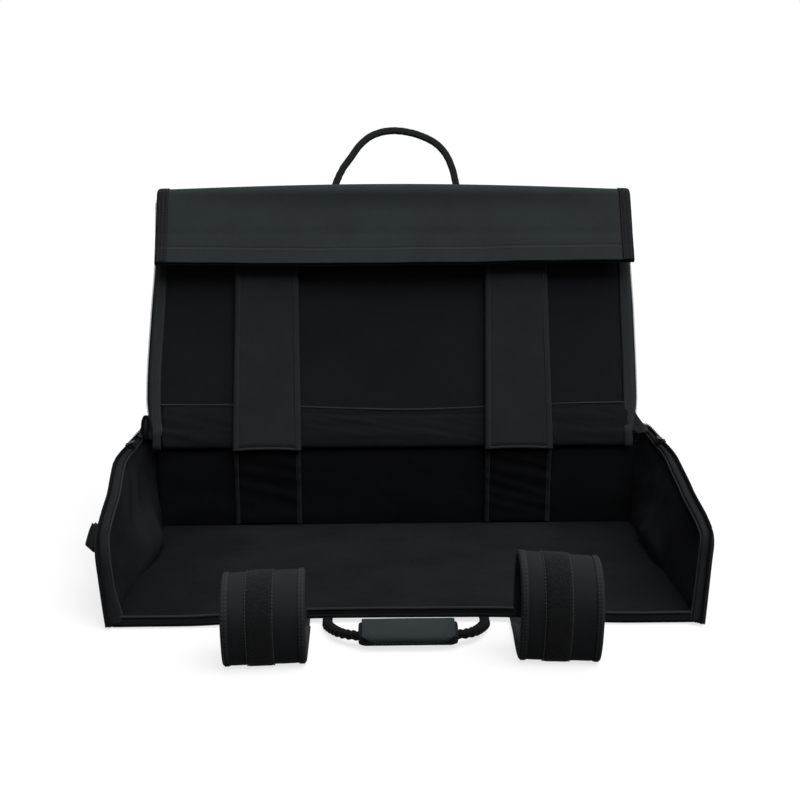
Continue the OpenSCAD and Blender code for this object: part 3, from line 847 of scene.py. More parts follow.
def makeHinge():
    inner, outer = hingePath(*hingeSpec["inner"]), hingePath(*hingeSpec["outer"])
    layers = (("hingeLining", inner, "liningCloth", "lining_cloth", 1, 0.845, ()),
              ("hingeCover", outer, "coverCloth", "cover_cloth", -1, 0.880, ("hinge_strip", "hinge_piping")))
    for name, points, finish, slot, out, wide, stands in layers:
        walk, length = pathWalker(points)

        def place(s, t, side, walk=walk, out=out, wide=wide):
            narrow = hingeSpec["taper"] * (1 - ease(t / 0.6)) if out < 0 else 0
            x = (s - 0.5) * (wide - narrow)
            crease = 0.0014 * ripple(22 * x + 9 * t, 0, 4 * t, out + 2) + 0.0006 * ripple(60 * x, 0, 9 * t, 4)
            spot = aside(walk, t, out * 0.0007 * side + crease * math.sin(math.pi * t) ** 0.7)
            if out > 0:
                spot.y -= (lidSpec["weltAt"] - weltLine(x)) * t ** 3
            return onSection(x, spot)
        sheet = newPiece(name, padMesh(110, 20, place, (wide, length)), finish, slot, replaces=stands,
                         subdivide=1)
        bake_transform(sheet)
    walk, length = pathWalker(inner)
    bands = []
    for edge in (-1, 1):
        def bandPlace(s, t, side, edge=edge):
            off = 0.0016 - 0.0042 * ease((t - 0.55) / 0.35) + 0.0009 * side + 0.0012 * math.sin(math.pi * s)
            spot = aside(walk, 0.02 + 0.66 * t, off)
            return onSection(edge * (hingeSpec["bandX"][edge] + hingeSpec["bandWidth"] * s), spot)
        bands.append(padMesh(6, 24, bandPlace, (0.0135, length)))
    strips = newPiece("hingeSideBands", bands, "edgeTape", "cover_cloth", subdivide=1)
    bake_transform(strips)


makeBackWall()
makeBase()
makeHinge()
print("base, back wall and hinge made")


# End panels

endSpec = {
    "height": 0.168, "topSlope": 6.7, "back": 0.237, "middle": 0.434, "cells": (44, 18), "puff": 0.0020,
    "bendAt": 0.196, "bendRun": 0.078, "lift": 0.016, "topSteps": 50, "arcSteps": 12, "footSteps": 12,
    "span": (0.50, 0.15), "bend": {"start": (0, 0.238, 0.1), "end": (0, 0.212, 0.1)},
    "binding": (0.0148, 0.0064), "tabX": 0.4415, "tabAt": -0.130, "tabWidth": 0.025,
    "tab": [(-0.004, 0.004), (0.0005, -0.006), (0.0008, -0.018), (0.0006, -0.030), (0.0022, -0.0350),
            (0.0036, -0.030), (0.0034, -0.018), (0.0030, -0.008), (0.0012, 0.003)],
    "left": {"side": -1, "frontSlope": 20, "corner": 0.060, "foot": (-0.228, 0.0019), "belly": 0.030,
             "tabSwing": 30, "tabTwist": -40, "wall": 0.4250, "lap": 0.0048, "spread": 0.0065,
             "folds": [(0.175, 0.125, 0.060, 0.062, 0.006), (0.130, 0.135, 0.010, 0.095, 0.004),
                       (0.165, 0.060, 0.090, 0.020, 0.005)],
             "bow": [(-0.20, -8.0), (-0.15, -3.4), (-0.12, -0.3), (-0.09, 2.2), (-0.06, 3.6), (-0.03, 4.8),
                     (0, 7.0), (0.03, 9.6), (0.06, 12.6), (0.09, 15.2), (0.12, 16.8), (0.15, 16.2),
                     (0.175, 12.6), (0.20, 7.0)]},
    "right": {"side": 1, "frontSlope": 26, "corner": 0.036, "foot": (-0.243, 0.0019), "belly": 0.012,
              "tabSwing": 20, "tabTwist": 0, "wall": 0.4290, "lap": 0.0044, "spread": 0.0010,
              "folds": [(0.150, 0.120, 0.100, 0.030, 0.005), (0.085, 0.115, 0.070, 0.040, 0.004),
                        (0.110, 0.024, -0.010, 0.030, 0.006)],
              "bow": [(-0.20, -2.5), (-0.15, 3.0), (-0.12, 5.2), (-0.09, 5.8), (-0.06, 6.0), (-0.03, 7.0),
                      (0, 9.0), (0.03, 10.4), (0.06, 11.3), (0.09, 12.4), (0.12, 13.2), (0.15, 12.6),
                      (0.175, 10.0), (0.20, 6.0)]},
}


def endTop(y):
    return endSpec["height"] + (y - endSpec["back"]) * math.tan(math.radians(endSpec["topSlope"]))


def endBow(own, y, z):
    return lineValue(own["bow"], y) / 1000 * min(max(z / 0.15, 0.0), 1.1) ** 1.4


def cornerCentre(own):
    a, b, r = math.radians(endSpec["topSlope"]), math.radians(own["frontSlope"]), own["corner"]
    topN, frontN = Vector((-math.sin(a), math.cos(a))), Vector((-math.cos(b), math.sin(b)))
    p, q = topN.dot(Vector((endSpec["back"], endSpec["height"]))) - r, frontN.dot(Vector(own["foot"])) - r
    det = topN.x * frontN.y - topN.y * frontN.x
    return Vector(((p * frontN.y - topN.y * q) / det, (topN.x * q - p * frontN.x) / det))


def endRim(own, grow):
    # runs from the end tucked behind the back wall, forward along the top and down to the front foot
    a, b = endSpec["topSlope"], own["frontSlope"]
    rear = endSpec["bendAt"] + endSpec["bendRun"]
    centre, points = cornerCentre(own), [Vector((rear, endTop(rear) + grow / math.cos(math.radians(a))))]
    arc = [math.radians(90 + a + k * (90 - a - b) / endSpec["arcSteps"])
           for k in range(endSpec["arcSteps"] + 1)]
    curve = [centre + (own["corner"] + grow) * Vector((math.cos(w), math.sin(w))) for w in arc]
    points += [points[0].lerp(curve[0], k / endSpec["topSteps"])
               for k in range(1, endSpec["topSteps"])] + curve
    foot = Vector((own["foot"][0] - grow / math.cos(math.radians(b)), own["foot"][1]))
    steps = endSpec["footSteps"]
    return points + [curve[-1].lerp(foot, k / steps) for k in range(1, steps + 1)]


def endPatch(own):
    rim = endRim(own, -0.001)
    half = endSpec["topSteps"] + endSpec["arcSteps"] // 2   # the middle of the front corner
    top, front = pathWalker(rim[:half + 1])[0], pathWalker(rim[half:][::-1])[0]
    rearLow, frontLow = Vector((rim[0].x, own["foot"][1])), rim[-1]
    rearHigh, frontHigh = rim[0], rim[half]

    def patch(s, t):
        edge = (rearLow.lerp(frontLow, s) * (1 - t) + top(s)[0] * t
                + rearLow.lerp(rearHigh, t) * (1 - s) + front(t)[0] * s)
        return edge - (rearLow * (1 - s) + frontLow * s) * (1 - t) - (rearHigh * (1 - s) + frontHigh * s) * t
    return patch


def endSpot(own, x, y, z):
    # x is across the panel. Behind bendAt the panel turns in to the back wall,
    # and y is then the length of cloth round the corner.
    lean, front = endPlace(1), min(y, endSpec["bendAt"])
    start = lean @ Vector((endSpec["middle"] + endBow(own, front, z), front, z))
    if y <= endSpec["bendAt"]:
        return start + lean.to_3x3() @ Vector((x, 0, 0))
    q, high = (y - endSpec["bendAt"]) / endSpec["bendRun"], max(z, 0) / endSpec["height"]
    a, b = Vector((start.x, start.y)), Vector((start.x, start.y + 0.034))
    c, d = Vector((0.432 + 0.018 * high ** 2, 0.2435)), Vector((own["wall"], 0.2395))
    r = 1 - q
    spot = a * r ** 3 + b * 3 * r * r * q + c * 3 * r * q * q + d * q ** 3
    along = ((b - a) * r * r + (c - b) * 2 * r * q + (d - c) * q * q).normalized()
    spot += Vector((along.y, -along.x)) * x
    return Vector((spot.x, spot.y, start.z + endSpec["lift"] * high ** 2 * hump(q, 0.62, 0.30)))


def foldGap(spot, a, b):
    way = b - a
    k = min(max((spot - a).dot(way) / way.length_squared, 0), 1)
    return (spot - a - way * k).length


def makeEnd(word):
    own = endSpec[word]
    side, body, patch = own["side"], word + "_end", endPatch(own)
    matrix = None if side > 0 else mirrorX
    bend, span = endSpec["bend"], endSpec["span"]

    def place(s, t, face):
        spot = patch(s, t)
        soft = rimEase(s, t, span, 0.02)
        x = face * (0.0032 + 0.0016 * soft)
        if face < 0:
            belly = own["belly"] * hump(spot.x, 0.06, 0.095) * hump(spot.y, 0.026, 0.040)
            x -= belly * rimEase(s, max(t, 0.5), span, 0.05)
            for y0, z0, y1, z1, deep in own["folds"]:
                x -= deep * hump(foldGap(spot, Vector((y0, z0)), Vector((y1, z1))), 0, 0.013) * soft
            broad = ripple(8 * spot.x + 7 * spot.y, 0, 12 * spot.y, 5 + side)
            x += (0.0048 * broad + 0.0020 * ripple(26 * spot.x, 0, 30 * spot.y, 2)) * soft
        return endSpot(own, x, spot.x, spot.y)
    # the panel's inner face is the darker lining, painted shade
    panel = stuffedPad(word + "EndPanel", endSpec, place, span, "coverCloth", "cover_cloth",
                       replaces=tuple(word + "_end_" + k for k in ("cover", "foam", "lining", "gusset")),
                       matrix=matrix, backFinish="endLiningPaintedShade")
    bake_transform(panel)
    walk, length = pathWalker(endRim(own, 0.0014))
    pieces = []

    def lap(t):
        # the binding laps inwards and spreads at the foot
        return own["lap"] * ease((t - 0.12) / 0.2) + own["spread"] * ease((t - 0.90) / 0.10)

    def bindPlace(s, t):
        c, d = roundedLoop(s, *endSpec["binding"])
        spot = aside(walk, t, -d)
        return endSpot(own, c + lap(t) * min(c / (endSpec["binding"][0] / 2), 0), spot.x, spot.y)
    pieces.append(newPiece(word + "EndBinding", tubeMesh(16, 130, bindPlace, (0.042, length)), "rimTape",
                           "binding_tape", replaces=(word + "_end_binding",), matrix=matrix))
    ridges = []
    for shift, share in ((-0.0078, -1), (-0.0030, -0.5), (0.0078, 0)):
        def ridgePlace(s, t, shift=shift, share=share):
            c, d = roundedLoop(s, 0.0032, 0.0032, 1.0)
            spot = aside(walk, t, 0.0036 - d)
            return endSpot(own, shift + c + lap(t) * share, spot.x, spot.y)
        ridges.append(tubeMesh(8, 130, ridgePlace, (0.009, length)))
    pieces.append(newPiece(word + "EndPiping", ridges, "edgeTape", "cover_cloth", matrix=matrix))
    edgeWalk, edgeLength = pathWalker(endRim(own, 0.0045))

    def tapePlace(s, t, face):
        here, along = edgeWalk(t)
        spot = here - beside(along) * 0.0052 * s
        return endSpot(own, 0.0009 * face, spot.x, spot.y)
    pieces.append(newPiece(word + "EndZipTape", padMesh(3, 130, tapePlace, (0.005, edgeLength)), "zipTape",
                           "zip_tape", replaces=(word + "_end_zip",), matrix=matrix))
    teeth, stitches = [], []

    def rowPlace(walker, shift, rise, out):
        def rowAt(t):
            here, along = walker(t)
            spot = here - beside(along) * rise
            at = endSpot(own, shift, spot.x, spot.y)
            ahead = endSpot(own, shift, spot.x + 0.002 * along.x, spot.y + 0.002 * along.y)
            tilt = Vector((0, 0)) if out else beside(along) * 0.001
            over = endSpot(own, shift + out * 0.001, spot.x - tilt.x, spot.y - tilt.y)
            return at, ahead - at, over - at
        return rowAt
    toothRow(teeth, rowPlace(edgeWalk, 0, 0.0062, 0), edgeLength)
    pieces.append(newPiece(word + "EndZipTeeth", teeth, "zipTape", "zip_tape", matrix=matrix))
    seamWalk, seamLength = pathWalker(endRim(own, -0.0075))
    for out in (-1, 1):
        stitchRow(stitches, rowPlace(seamWalk, out * 0.0062, 0, out), seamLength)
    pieces.append(newPiece(word + "EndStitches", stitches, "sewingThread", "cover_cloth", matrix=matrix))
    for piece in pieces:
        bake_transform(piece)
    tabSpot = Matrix.Translation((endSpec["tabX"], endSpec["tabAt"], endTop(endSpec["tabAt"]) + 0.001))
    swing = Matrix.Rotation(math.radians(-own["tabSwing"]), 4, "Y")
    twist = Matrix.Rotation(math.radians(own["tabTwist"]), 4, "Z")
    tabMatrix = endPlace(side) @ tabSpot @ swing @ twist
    tabWalk, tabLength = softWalker(endSpec["tab"], 4)

    def tabPlace(s, t, face):
        spot = aside(tabWalk, t, 0.0007 * face)
        return Vector((spot.x, (s - 0.5) * endSpec["tabWidth"], spot.y))
    newPiece(word + "EndTab", padMesh(8, 36, tabPlace, (endSpec["tabWidth"], tabLength)), "bindingTape",
             "webbing", body, (word + "_end_tab",), matrix=tabMatrix)


# Webs of cloth between the lid and the end rims, with the loose loops of the zip ends

cornerSpec = {
    "webTop": {-1: 0.2200, 1: 0.2235}, "webTip": {-1: (0.4645, 0.186), 1: (0.4565, 0.1885)},
    "dip": {-1: -0.006, 1: 0.004}, "low": {-1: 0.172, 1: 0.1765}, "loopY": 0.2225,
    "loopSizes": ((0.0068, 0.0044), (0.0038, 0.0030)),
    "loops": [[(-0.4500, 0.1745), (-0.4545, 0.1840), (-0.4560, 0.1985), (-0.4537, 0.2105), (-0.4495, 0.2160),
               (-0.4458, 0.2105), (-0.4460, 0.1960), (-0.4475, 0.1840), (-0.4460, 0.1745)],
              [(0.4275, 0.1830), (0.4335, 0.1815), (0.4390, 0.1745), (0.4379, 0.1655), (0.4325, 0.1630),
               (0.4285, 0.1680), (0.4320, 0.1740)]],
}


def makeCorners():
    spec = cornerSpec
    webs, loops = [], []
    for side in (-1, 1):
        edge = lidEdge(0.045, side) - 0.002
        tipX, tipZ = spec["webTip"][side]

        def webPlace(s, t, face, side=side, edge=edge, tipX=tipX, tipZ=tipZ):
            top = spec["webTop"][side] * (1 - s) + tipZ * s - spec["dip"][side] * math.sin(math.pi * s)
            low = spec["low"][side] + 0.6 * (tipZ - spec["low"][side]) * s * s
            z = low + (top - low) * t
            x = edge + (tipX - edge) * s
            y = 0.2292 - 0.009 * s * (1 - t) + 0.302 * (z - low) * (1 - s) ** 1.5
            y += 0.0012 * ripple(60 * x, 0, 70 * z, side)
            return Vector((side * x, y - 0.0008 * face, z))
        webs.append(padMesh(12, 20, webPlace, (tipX - edge, 0.045)))
    for points, size in zip(spec["loops"], spec["loopSizes"]):
        walk, length = softWalker(points, 5)

        def loopPlace(s, t, walk=walk, size=size):
            c, d = roundedLoop(s, *size, 0.8)
            spot = aside(walk, t, c)
            return Vector((spot.x, spec["loopY"] + d, spot.y))
        loops.append(tubeMesh(10, 48, loopPlace, (0.012, length)))
    web = newPiece("cornerWebs", webs, "bandTape", "cover_cloth", subdivide=1)
    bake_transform(web)
    newPiece("zipEndLoops", loops, "cordTape", "zip_tape", "bag_body", subdivide=1)


for word in ("left", "right"):
    makeEnd(word)
makeCorners()
print("end panels made")


# Padded straps on the lid, with their lower ends and the risers on the back wall

rearStrapSpec = {"width": 0.118, "near": 0.0190, "far": 0.392, "middle": 0.020, "edge": 0.009,
                 "places": {"left": -0.234, "right": 0.220}, "tailLow": 0.1545, "tape": 0.037,
                 "tapeFrom": 0.110, "tapeRun": 0.272, "riserLow": 0.0145, "riserRun": 0.136,
                 "riserEdge": 0.135, "riserSeam": 0.130}


def strapWidth(u):
    return rearStrapSpec["width"] * (1.02 - 0.09 * max(u, 0) / 0.392)


def edgeBand(parts, width, thick, place, cells, length):
    # U-shaped binding round both long edges of a strap. place(side, a, b, t) gives the point
    # that is a past the edge on that side, b out of the strap and t of the way along.
    half = thick / 2
    for side in (-1, 1):
        walk, around = softWalker([(-width, half + 0.0006), (-width * 0.4, half + 0.0012),
                                   (-0.0006, half + 0.0004), (0.0014, 0), (-0.0006, -half - 0.0004),
                                   (-width * 0.4, -half - 0.0012), (-width, -half - 0.0006)], 4)

        def bandPlace(s, t, face, side=side, walk=walk):
            spot = aside(walk, s, -0.0005 * face)
            return place(side, spot.x, spot.y, t)
        parts.append(padMesh(16, cells, bandPlace, (around, length), True))


def makeRearStrap(word, middleX):
    spec = rearStrapSpec
    body, span = "rear_strap_" + word + "_body", (spec["width"], spec["far"] - spec["near"])

    def place(s, t, side):
        u = spec["near"] + span[1] * t
        x = middleX + (s - 0.5) * (strapWidth(u) - 0.002)
        soft = rimEase(s, max(t, 0.5), span, 0.012)
        n = spec["middle"] + side * (0.0024 + 0.0020 * soft)
        if side > 0:
            n += (0.0007 * ripple(14 * x, 0, 9 * u, 4)
                  + 0.0005 * ripple(30 * x, 0, 22 * u, 6)) * soft * ease(t / 0.1)
        return lidPoint(x, n, u)
    pad = newPiece(word + "LidStrap", padMesh(32, 96, place, span, True), "strapCloth", "strap_cloth",
                   body, ("rear_strap_" + word,), matrix=lidPlace)
    bands, stitches = [], []

    def bandAt(side, a, b, t):
        u = spec["near"] + (span[1] - 0.001) * t
        return lidPoint(middleX + side * (strapWidth(u) / 2 - 0.0006 + a), spec["middle"] + b, u)
    edgeBand(bands, spec["edge"], 0.0064, bandAt, 72, span[1])
    newPiece(word + "LidStrapEdges", bands, "edgeTape", "binding_tape", body, matrix=lidPlace)
    for side in (-1, 1):
        def seamAt(t, side=side):
            u = spec["near"] + span[1] * t
            x = middleX + side * (strapWidth(u) / 2 - spec["edge"] + 0.0012)
            return lidPoint(x, 0.0243, u), upWay, frontWay
        stitchRow(stitches, seamAt, span[1])
    newPiece(word + "LidStrapStitches", stitches, "sewingThread", "strap_cloth", body, matrix=lidPlace)

    def tapePlace(s, t, side):
        soft = rimEase(s, t, (spec["tape"], 0.27), 0.004)
        return lidPoint(middleX + (s - 0.5) * spec["tape"], 0.0154 + side * (0.0004 + 0.0003 * soft),
                        spec["tapeFrom"] + spec["tapeRun"] * t)
    newPiece(word + "LidStrapPile", padMesh(8, 40, tapePlace, (spec["tape"], spec["tapeRun"])), "hookPile",
             "hook_and_loop", body, ("rear_strap_tape_" + word,), matrix=lidPlace)


def makeStrapTail(word, middleX):
    spec = rearStrapSpec
    wide = strapWidth(0)
    wall = flat([(0.2112, spec["tailLow"]), (0.2130, 0.163), (0.2156, 0.172), (0.2184, 0.1815)])
    line = wall + [lidToFrame(spec["middle"], u) for u in (0.006, 0.0125, spec["near"])]
    walk, length = pathWalker(smoothPath(line, 6))

    def place(s, t, side):
        soft = rimEase(s, min(t, 0.5), (spec["width"], length), 0.012)
        spot = aside(walk, t, side * (0.0024 + 0.0020 * soft))
        sag = -0.0024 * (1 - (2 * s - 1) ** 2) * (1 - t) ** 3
        return Vector((middleX + (s - 0.5) * (wide - 0.002), spot.x, spot.y - sag))
    tail = newPiece(word + "StrapTail", padMesh(32, 24, place, (spec["width"], length), True),
                    "strapCloth", "strap_cloth")
    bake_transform(tail)
    bands, stitches = [], []

    def bandAt(side, a, b, t):
        return onSection(middleX + side * (wide / 2 - 0.0006 + a), aside(walk, t, b))
    edgeBand(bands, spec["edge"], 0.0064, bandAt, 24, length)

    def hemAt(s, t):
        c, d = roundedLoop(s, 0.0060, 0.0090, 0.8)
        here = walk(0.02)[0]
        sag = -0.0024 * (1 - (2 * t - 1) ** 2)
        return Vector((middleX + (2 * t - 1) * (wide / 2 + 0.0004), here.x + d, here.y + c - sag))
    bands.append(tubeMesh(12, 40, hemAt, (0.03, spec["width"])))
    edges = newPiece(word + "StrapTailEdges", bands, "edgeTape", "binding_tape")
    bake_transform(edges)
    for side in (-1, 1):
        def seamAt(t, side=side):
            here, along = walk(t)
            out = beside(along)
            x = middleX + side * (wide / 2 - spec["edge"] + 0.0012)
            return onSection(x, here + out * 0.0044), onSection(0, along), onSection(0, out)
        stitchRow(stitches, seamAt, length)
    rows = newPiece(word + "StrapTailStitches", stitches, "sewingThread", "strap_cloth")
    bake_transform(rows)


def makeRisers():
    spec = rearStrapSpec
    riser = (spec["width"], spec["riserRun"])
    pads, bands, stitches = [], [], []
    for middleX in spec["places"].values():
        def riserY(x, z):
            wave = 0.0024 * ripple(8 * x, 0, 62 * (z + 0.28 * x), 3) * ease((z - 0.02) / 0.03)
            return 0.2205 - 0.0035 * ease((z - 0.08) / 0.07) + wave

        def place(s, t, side, middleX=middleX):
            x, z = middleX + (s - 0.5) * (spec["width"] - 0.002), spec["riserLow"] + spec["riserRun"] * t
            return Vector((x, riserY(x, z) - side * (0.0010 + 0.0008 * rimEase(s, t, riser, 0.01)), z))
        pads.append(padMesh(20, 40, place, riser))

        def bandAt(side, a, b, t, middleX=middleX):
            x, z = middleX + side * (spec["width"] / 2 - 0.0006 + a), spec["riserLow"] + spec["riserEdge"] * t
            return Vector((x, riserY(x, z) - b, z))
        edgeBand(bands, 0.0058, 0.0026, bandAt, 40, spec["riserEdge"])
        for side in (-1, 1):
            def seamAt(t, side=side, middleX=middleX):
                x, z = middleX + side * (spec["width"] / 2 - 0.0066), spec["riserLow"] + spec["riserSeam"] * t
                return Vector((x, riserY(x, z) - 0.0028, z)), upWay, frontWay
            stitchRow(stitches, seamAt, spec["riserSeam"])
    # the risers use the darker wall lining, painted shade
    newPiece("strapRisers", pads, "wallLiningPaintedShade", "strap_cloth", "bag_body", ("strap_risers",), subdivide=1)
    newPiece("strapRiserEdges", bands, "bindingTape", "binding_tape", "bag_body")
    newPiece("strapRiserStitches", stitches, "sewingThread", "strap_cloth", "bag_body")


for word, middleX in rearStrapSpec["places"].items():
    makeRearStrap(word, middleX)
    makeStrapTail(word, middleX)
makeRisers()
print("lid straps made")


# Curled straps in front

curlSpec = {"edge": 0.0085, "tape": 0.034, "tapeFrom": 0.30, "tapeOff": -0.005,
            "left": {"x": -0.197, "width": 0.111, "height": 0.119, "shift": 0.000, "shear": -0.003,
                     "skew": 0.06, "tilt": 0.25},
            "right": {"x": 0.209, "width": 0.109, "height": 0.140, "shift": -0.0045, "shear": 0.000,
                      "skew": -0.09, "tilt": -0.45},
            "path": [(0, 0), (-44, 0), (-88, 0), (-117, 0), (-130, 2.5), (-138, 11), (-144, 24),
                     (-148, 40), (-149, 54), (-147, 66), (-141, 78), (-130, 90), (-112, 98), (-93, 98),
                     (-78, 86), (-70, 68), (-67, 46), (-67, 26)]}


def makeCurl(word):
    spec, own = curlSpec, curlSpec[word]
    base = Vector(panelSpec["frontHinge"])
    body = "front_strap_" + word + "_body"
    walk, length = pathWalker(smoothPath([Vector((p[0] / 1000, p[1] / 100 * own["height"]))
                                          for p in spec["path"]], 6))

    def at(x, out, t):
        here, along = walk(t)
        spot, turned = here + beside(along) * out, ease(t / 0.3)
        return Vector((own["x"] + x + own["shift"] * turned + own["shear"] * t * t,
                       base.y + spot.x + own["skew"] * x * turned,
                       base.z + spot.y + max(here.y, 0) * own["tilt"] * x))

    def root(t):
        return 0.2 + 0.8 * ease(t / 0.05)  # pressed thin where it is sewn on

    def place(s, t, side):
        soft = rimEase(s, t, (own["width"], length), 0.012)
        wave = 0.0005 * ripple(30 * s, 0, 8 * t, own["x"]) * soft
        return at((s - 0.5) * (own["width"] - 0.002), (side * (0.0020 + 0.0014 * soft) + wave) * root(t), t)
    # the curl is strap cloth made darker, painted shade
    pad = newPiece(word + "Curl", padMesh(24, 110, place, (own["width"], length)), "curlClothPaintedShade",
                   "strap_cloth", body, ("front_strap_" + word,), subdivide=1)
    bands, stitches = [], []
    half = own["width"] / 2

    def bandAt(side, a, b, t):
        return at(side * (half - 0.0006 + a), b * root(t), t)
    edgeBand(bands, spec["edge"], 0.0054, bandAt, 110, length)
    newPiece(word + "CurlEdges", bands, "edgeTape", "cover_cloth", body)

    def tapePlace(s, t, side):
        run = spec["tapeFrom"] + (0.985 - spec["tapeFrom"]) * t
        soft = rimEase(s, t, (spec["tape"], length), 0.003)
        return at(spec["tapeOff"] + (s - 0.5) * spec["tape"],
                  0.0042 + side * (0.0004 + 0.0006 * soft) + 0.0003 * ripple(60 * s, 0, 60 * t, 2), run)
    newPiece(word + "CurlPile", padMesh(10, 80, tapePlace, (spec["tape"], length)), "hookPile",
             "hook_and_loop", body, ("front_strap_tape_" + word,))

    def seam(x, out):
        def seamAt(t):
            along = walk(t)[1]
            return at(x, out * root(t), t), onSection(0, along), onSection(0, beside(along))
        return seamAt
    for side in (-1, 1):
        stitchRow(stitches, seam(side * (half - spec["edge"] + 0.0018), 0.0043), length)
        stitchRow(stitches, seam(side * (half - 0.0022), 0.0043), length)
        stitchRow(stitches, seam(spec["tapeOff"] + side * (spec["tape"] / 2 + 0.0010), 0.0046), length,
                  tapeStitch)
    newPiece(word + "CurlStitches", stitches, "sewingThread", "strap_cloth", body)


bailSpec = {"foot": 0.116, "width": 0.0150, "depth": 0.0125, "gripLength": 0.142, "gripAt": -0.067,
            "gripSize": (0.034, 0.022), "gripRoll": 40, "gripLift": 0.005, "turnAt": 0.0125,
            "turnRadius": 0.0062, "coverHalf": 0.0660, "coverNear": -0.0250, "coverFar": 0.0215,
            "coverFlat": (0.132, 0.041),
            "half": [(-116, 2), (-112, -14), (-105, -32), (-97, -47), (-86, -58), (-72, -65), (-50, -67)]}
anchorSpec = {"curlWidth": 0.113, "handleWidth": 0.017, "front": -0.2422, "run": 0.0302, "length": 0.034}


def makeAnchors():
    spec, foot = anchorSpec, bailSpec["foot"]
    curlX = (curlSpec["left"]["x"], curlSpec["right"]["x"])
    kinds = (("curlAnchors", "bindingTape", spec["curlWidth"], curlX, "front_strap_anchors"),
             ("handleAnchors", "cordTape", spec["handleWidth"], (-foot, foot), "front_handle_anchors"))
    for name, finish, width, places, stands in kinds:
        parts = []
        for x in places:
            def place(s, t, side, x=x, width=width):
                across = x + (s - 0.5) * (width - 0.002)
                soft = rimEase(s, t, (width, spec["length"]), 0.004)
                thick = 0.0008 + 0.0008 * ease(t / 0.3) + 0.0008 * soft
                z = 0.0042 + (frontRise(across) - 0.0014) * ease(t) + side * thick
                return Vector((across, spec["front"] + spec["run"] * t, z))
            parts.append(padMesh(16, 8, place, (width, spec["length"])))
        newPiece(name, parts, finish, "webbing", "bag_body", (stands,), subdivide=1)


makeCurl("left")
makeCurl("right")
makeAnchors()
print("curled straps made")


# Handles

handleSpec = {"foot": 0.430, "off": -0.0075, "width": 0.0130, "depth": 0.0066, "feet": (-0.110, 0.116),
              "patch": (0.042, 0.050), "patchDrop": 0.059,
              "arch": [(-113, 0), (-112, 22), (-108, 40), (-96, 66), (-79, 90), (-64, 111), (-44, 128),
                       (-20, 137), (4, 139), (32, 135), (58, 126), (80, 113), (97, 93), (108, 67),
                       (114, 40), (116, 22), (116, 0)]}


def makeLidHandle():
    spec = handleSpec
    walk, length = pathWalker(smoothPath([Vector((x / 1000, u / 1000)) for x, u in spec["arch"]], 5))

    def place(s, t):
        c, d = roundedLoop(s, spec["width"], spec["depth"], 0.6)
        fold = -0.0009 * hump(math.sin(math.pi * s), 1, 0.08)
        spot = aside(walk, t, c + 0.0004 * ripple(0, 0, 60 * t, 1))
        return lidPoint(spot.x, spec["off"] + d + fold, spec["foot"] + spot.y)
    newPiece("lidHandle", tubeMesh(16, 150, place, (0.030, length)), "webbingTape", "webbing",
             "lid_handle_body", ("lid_handle",), matrix=lidPlace)
    stitches = []

    def seamAt(t):
        here, along = walk(0.04 + 0.92 * t)
        spot = here - beside(along) * 0.0034
        at = lidPoint(spot.x, spec["off"] + 0.0033, spec["foot"] + spot.y)
        return at, Vector((along.x, 0, along.y)), frontWay
    stitchRow(stitches, seamAt, length * 0.92)
    newPiece("lidHandleStitches", stitches, "sewingThread", "webbing", "lid_handle_body", matrix=lidPlace)
    pads, rows = [], []
    for foot in spec["feet"]:
        def patchPlace(s, t, side, foot=foot):
            wide, high = spec["patch"]
            n = -0.0012 - side * (0.0004 + 0.0006 * rimEase(s, t, spec["patch"], 0.004))
            return lidPoint(foot + (s - 0.5) * wide, n, spec["foot"] - spec["patchDrop"] + high * t)
        pads.append(padMesh(12, 14, patchPlace, spec["patch"]))
        corners = flat([(-0.017, -0.055), (0.017, -0.055), (0.017, -0.013), (-0.017, -0.013),
                        (-0.017, -0.055), (0.017, -0.013)])
        for a, b in zip(corners, corners[1:]):
            def boxAt(t, a=a, b=b, foot=foot):
                spot = a.lerp(b, t)
                at = lidPoint(foot + spot.x, -0.0023, spec["foot"] + spot.y)
                return at, Vector((b.x - a.x, 0, b.y - a.y)), -frontWay
            stitchRow(rows, boxAt, (b - a).length)
    newPiece("lidHandlePatches", pads, "webbingTape", "webbing", "lid", ("lid_handle_patches",),
             matrix=lidPlace, subdivide=1)
    newPiece("lidHandlePatchStitches", rows, "sewingThread", "webbing", "lid", matrix=lidPlace)


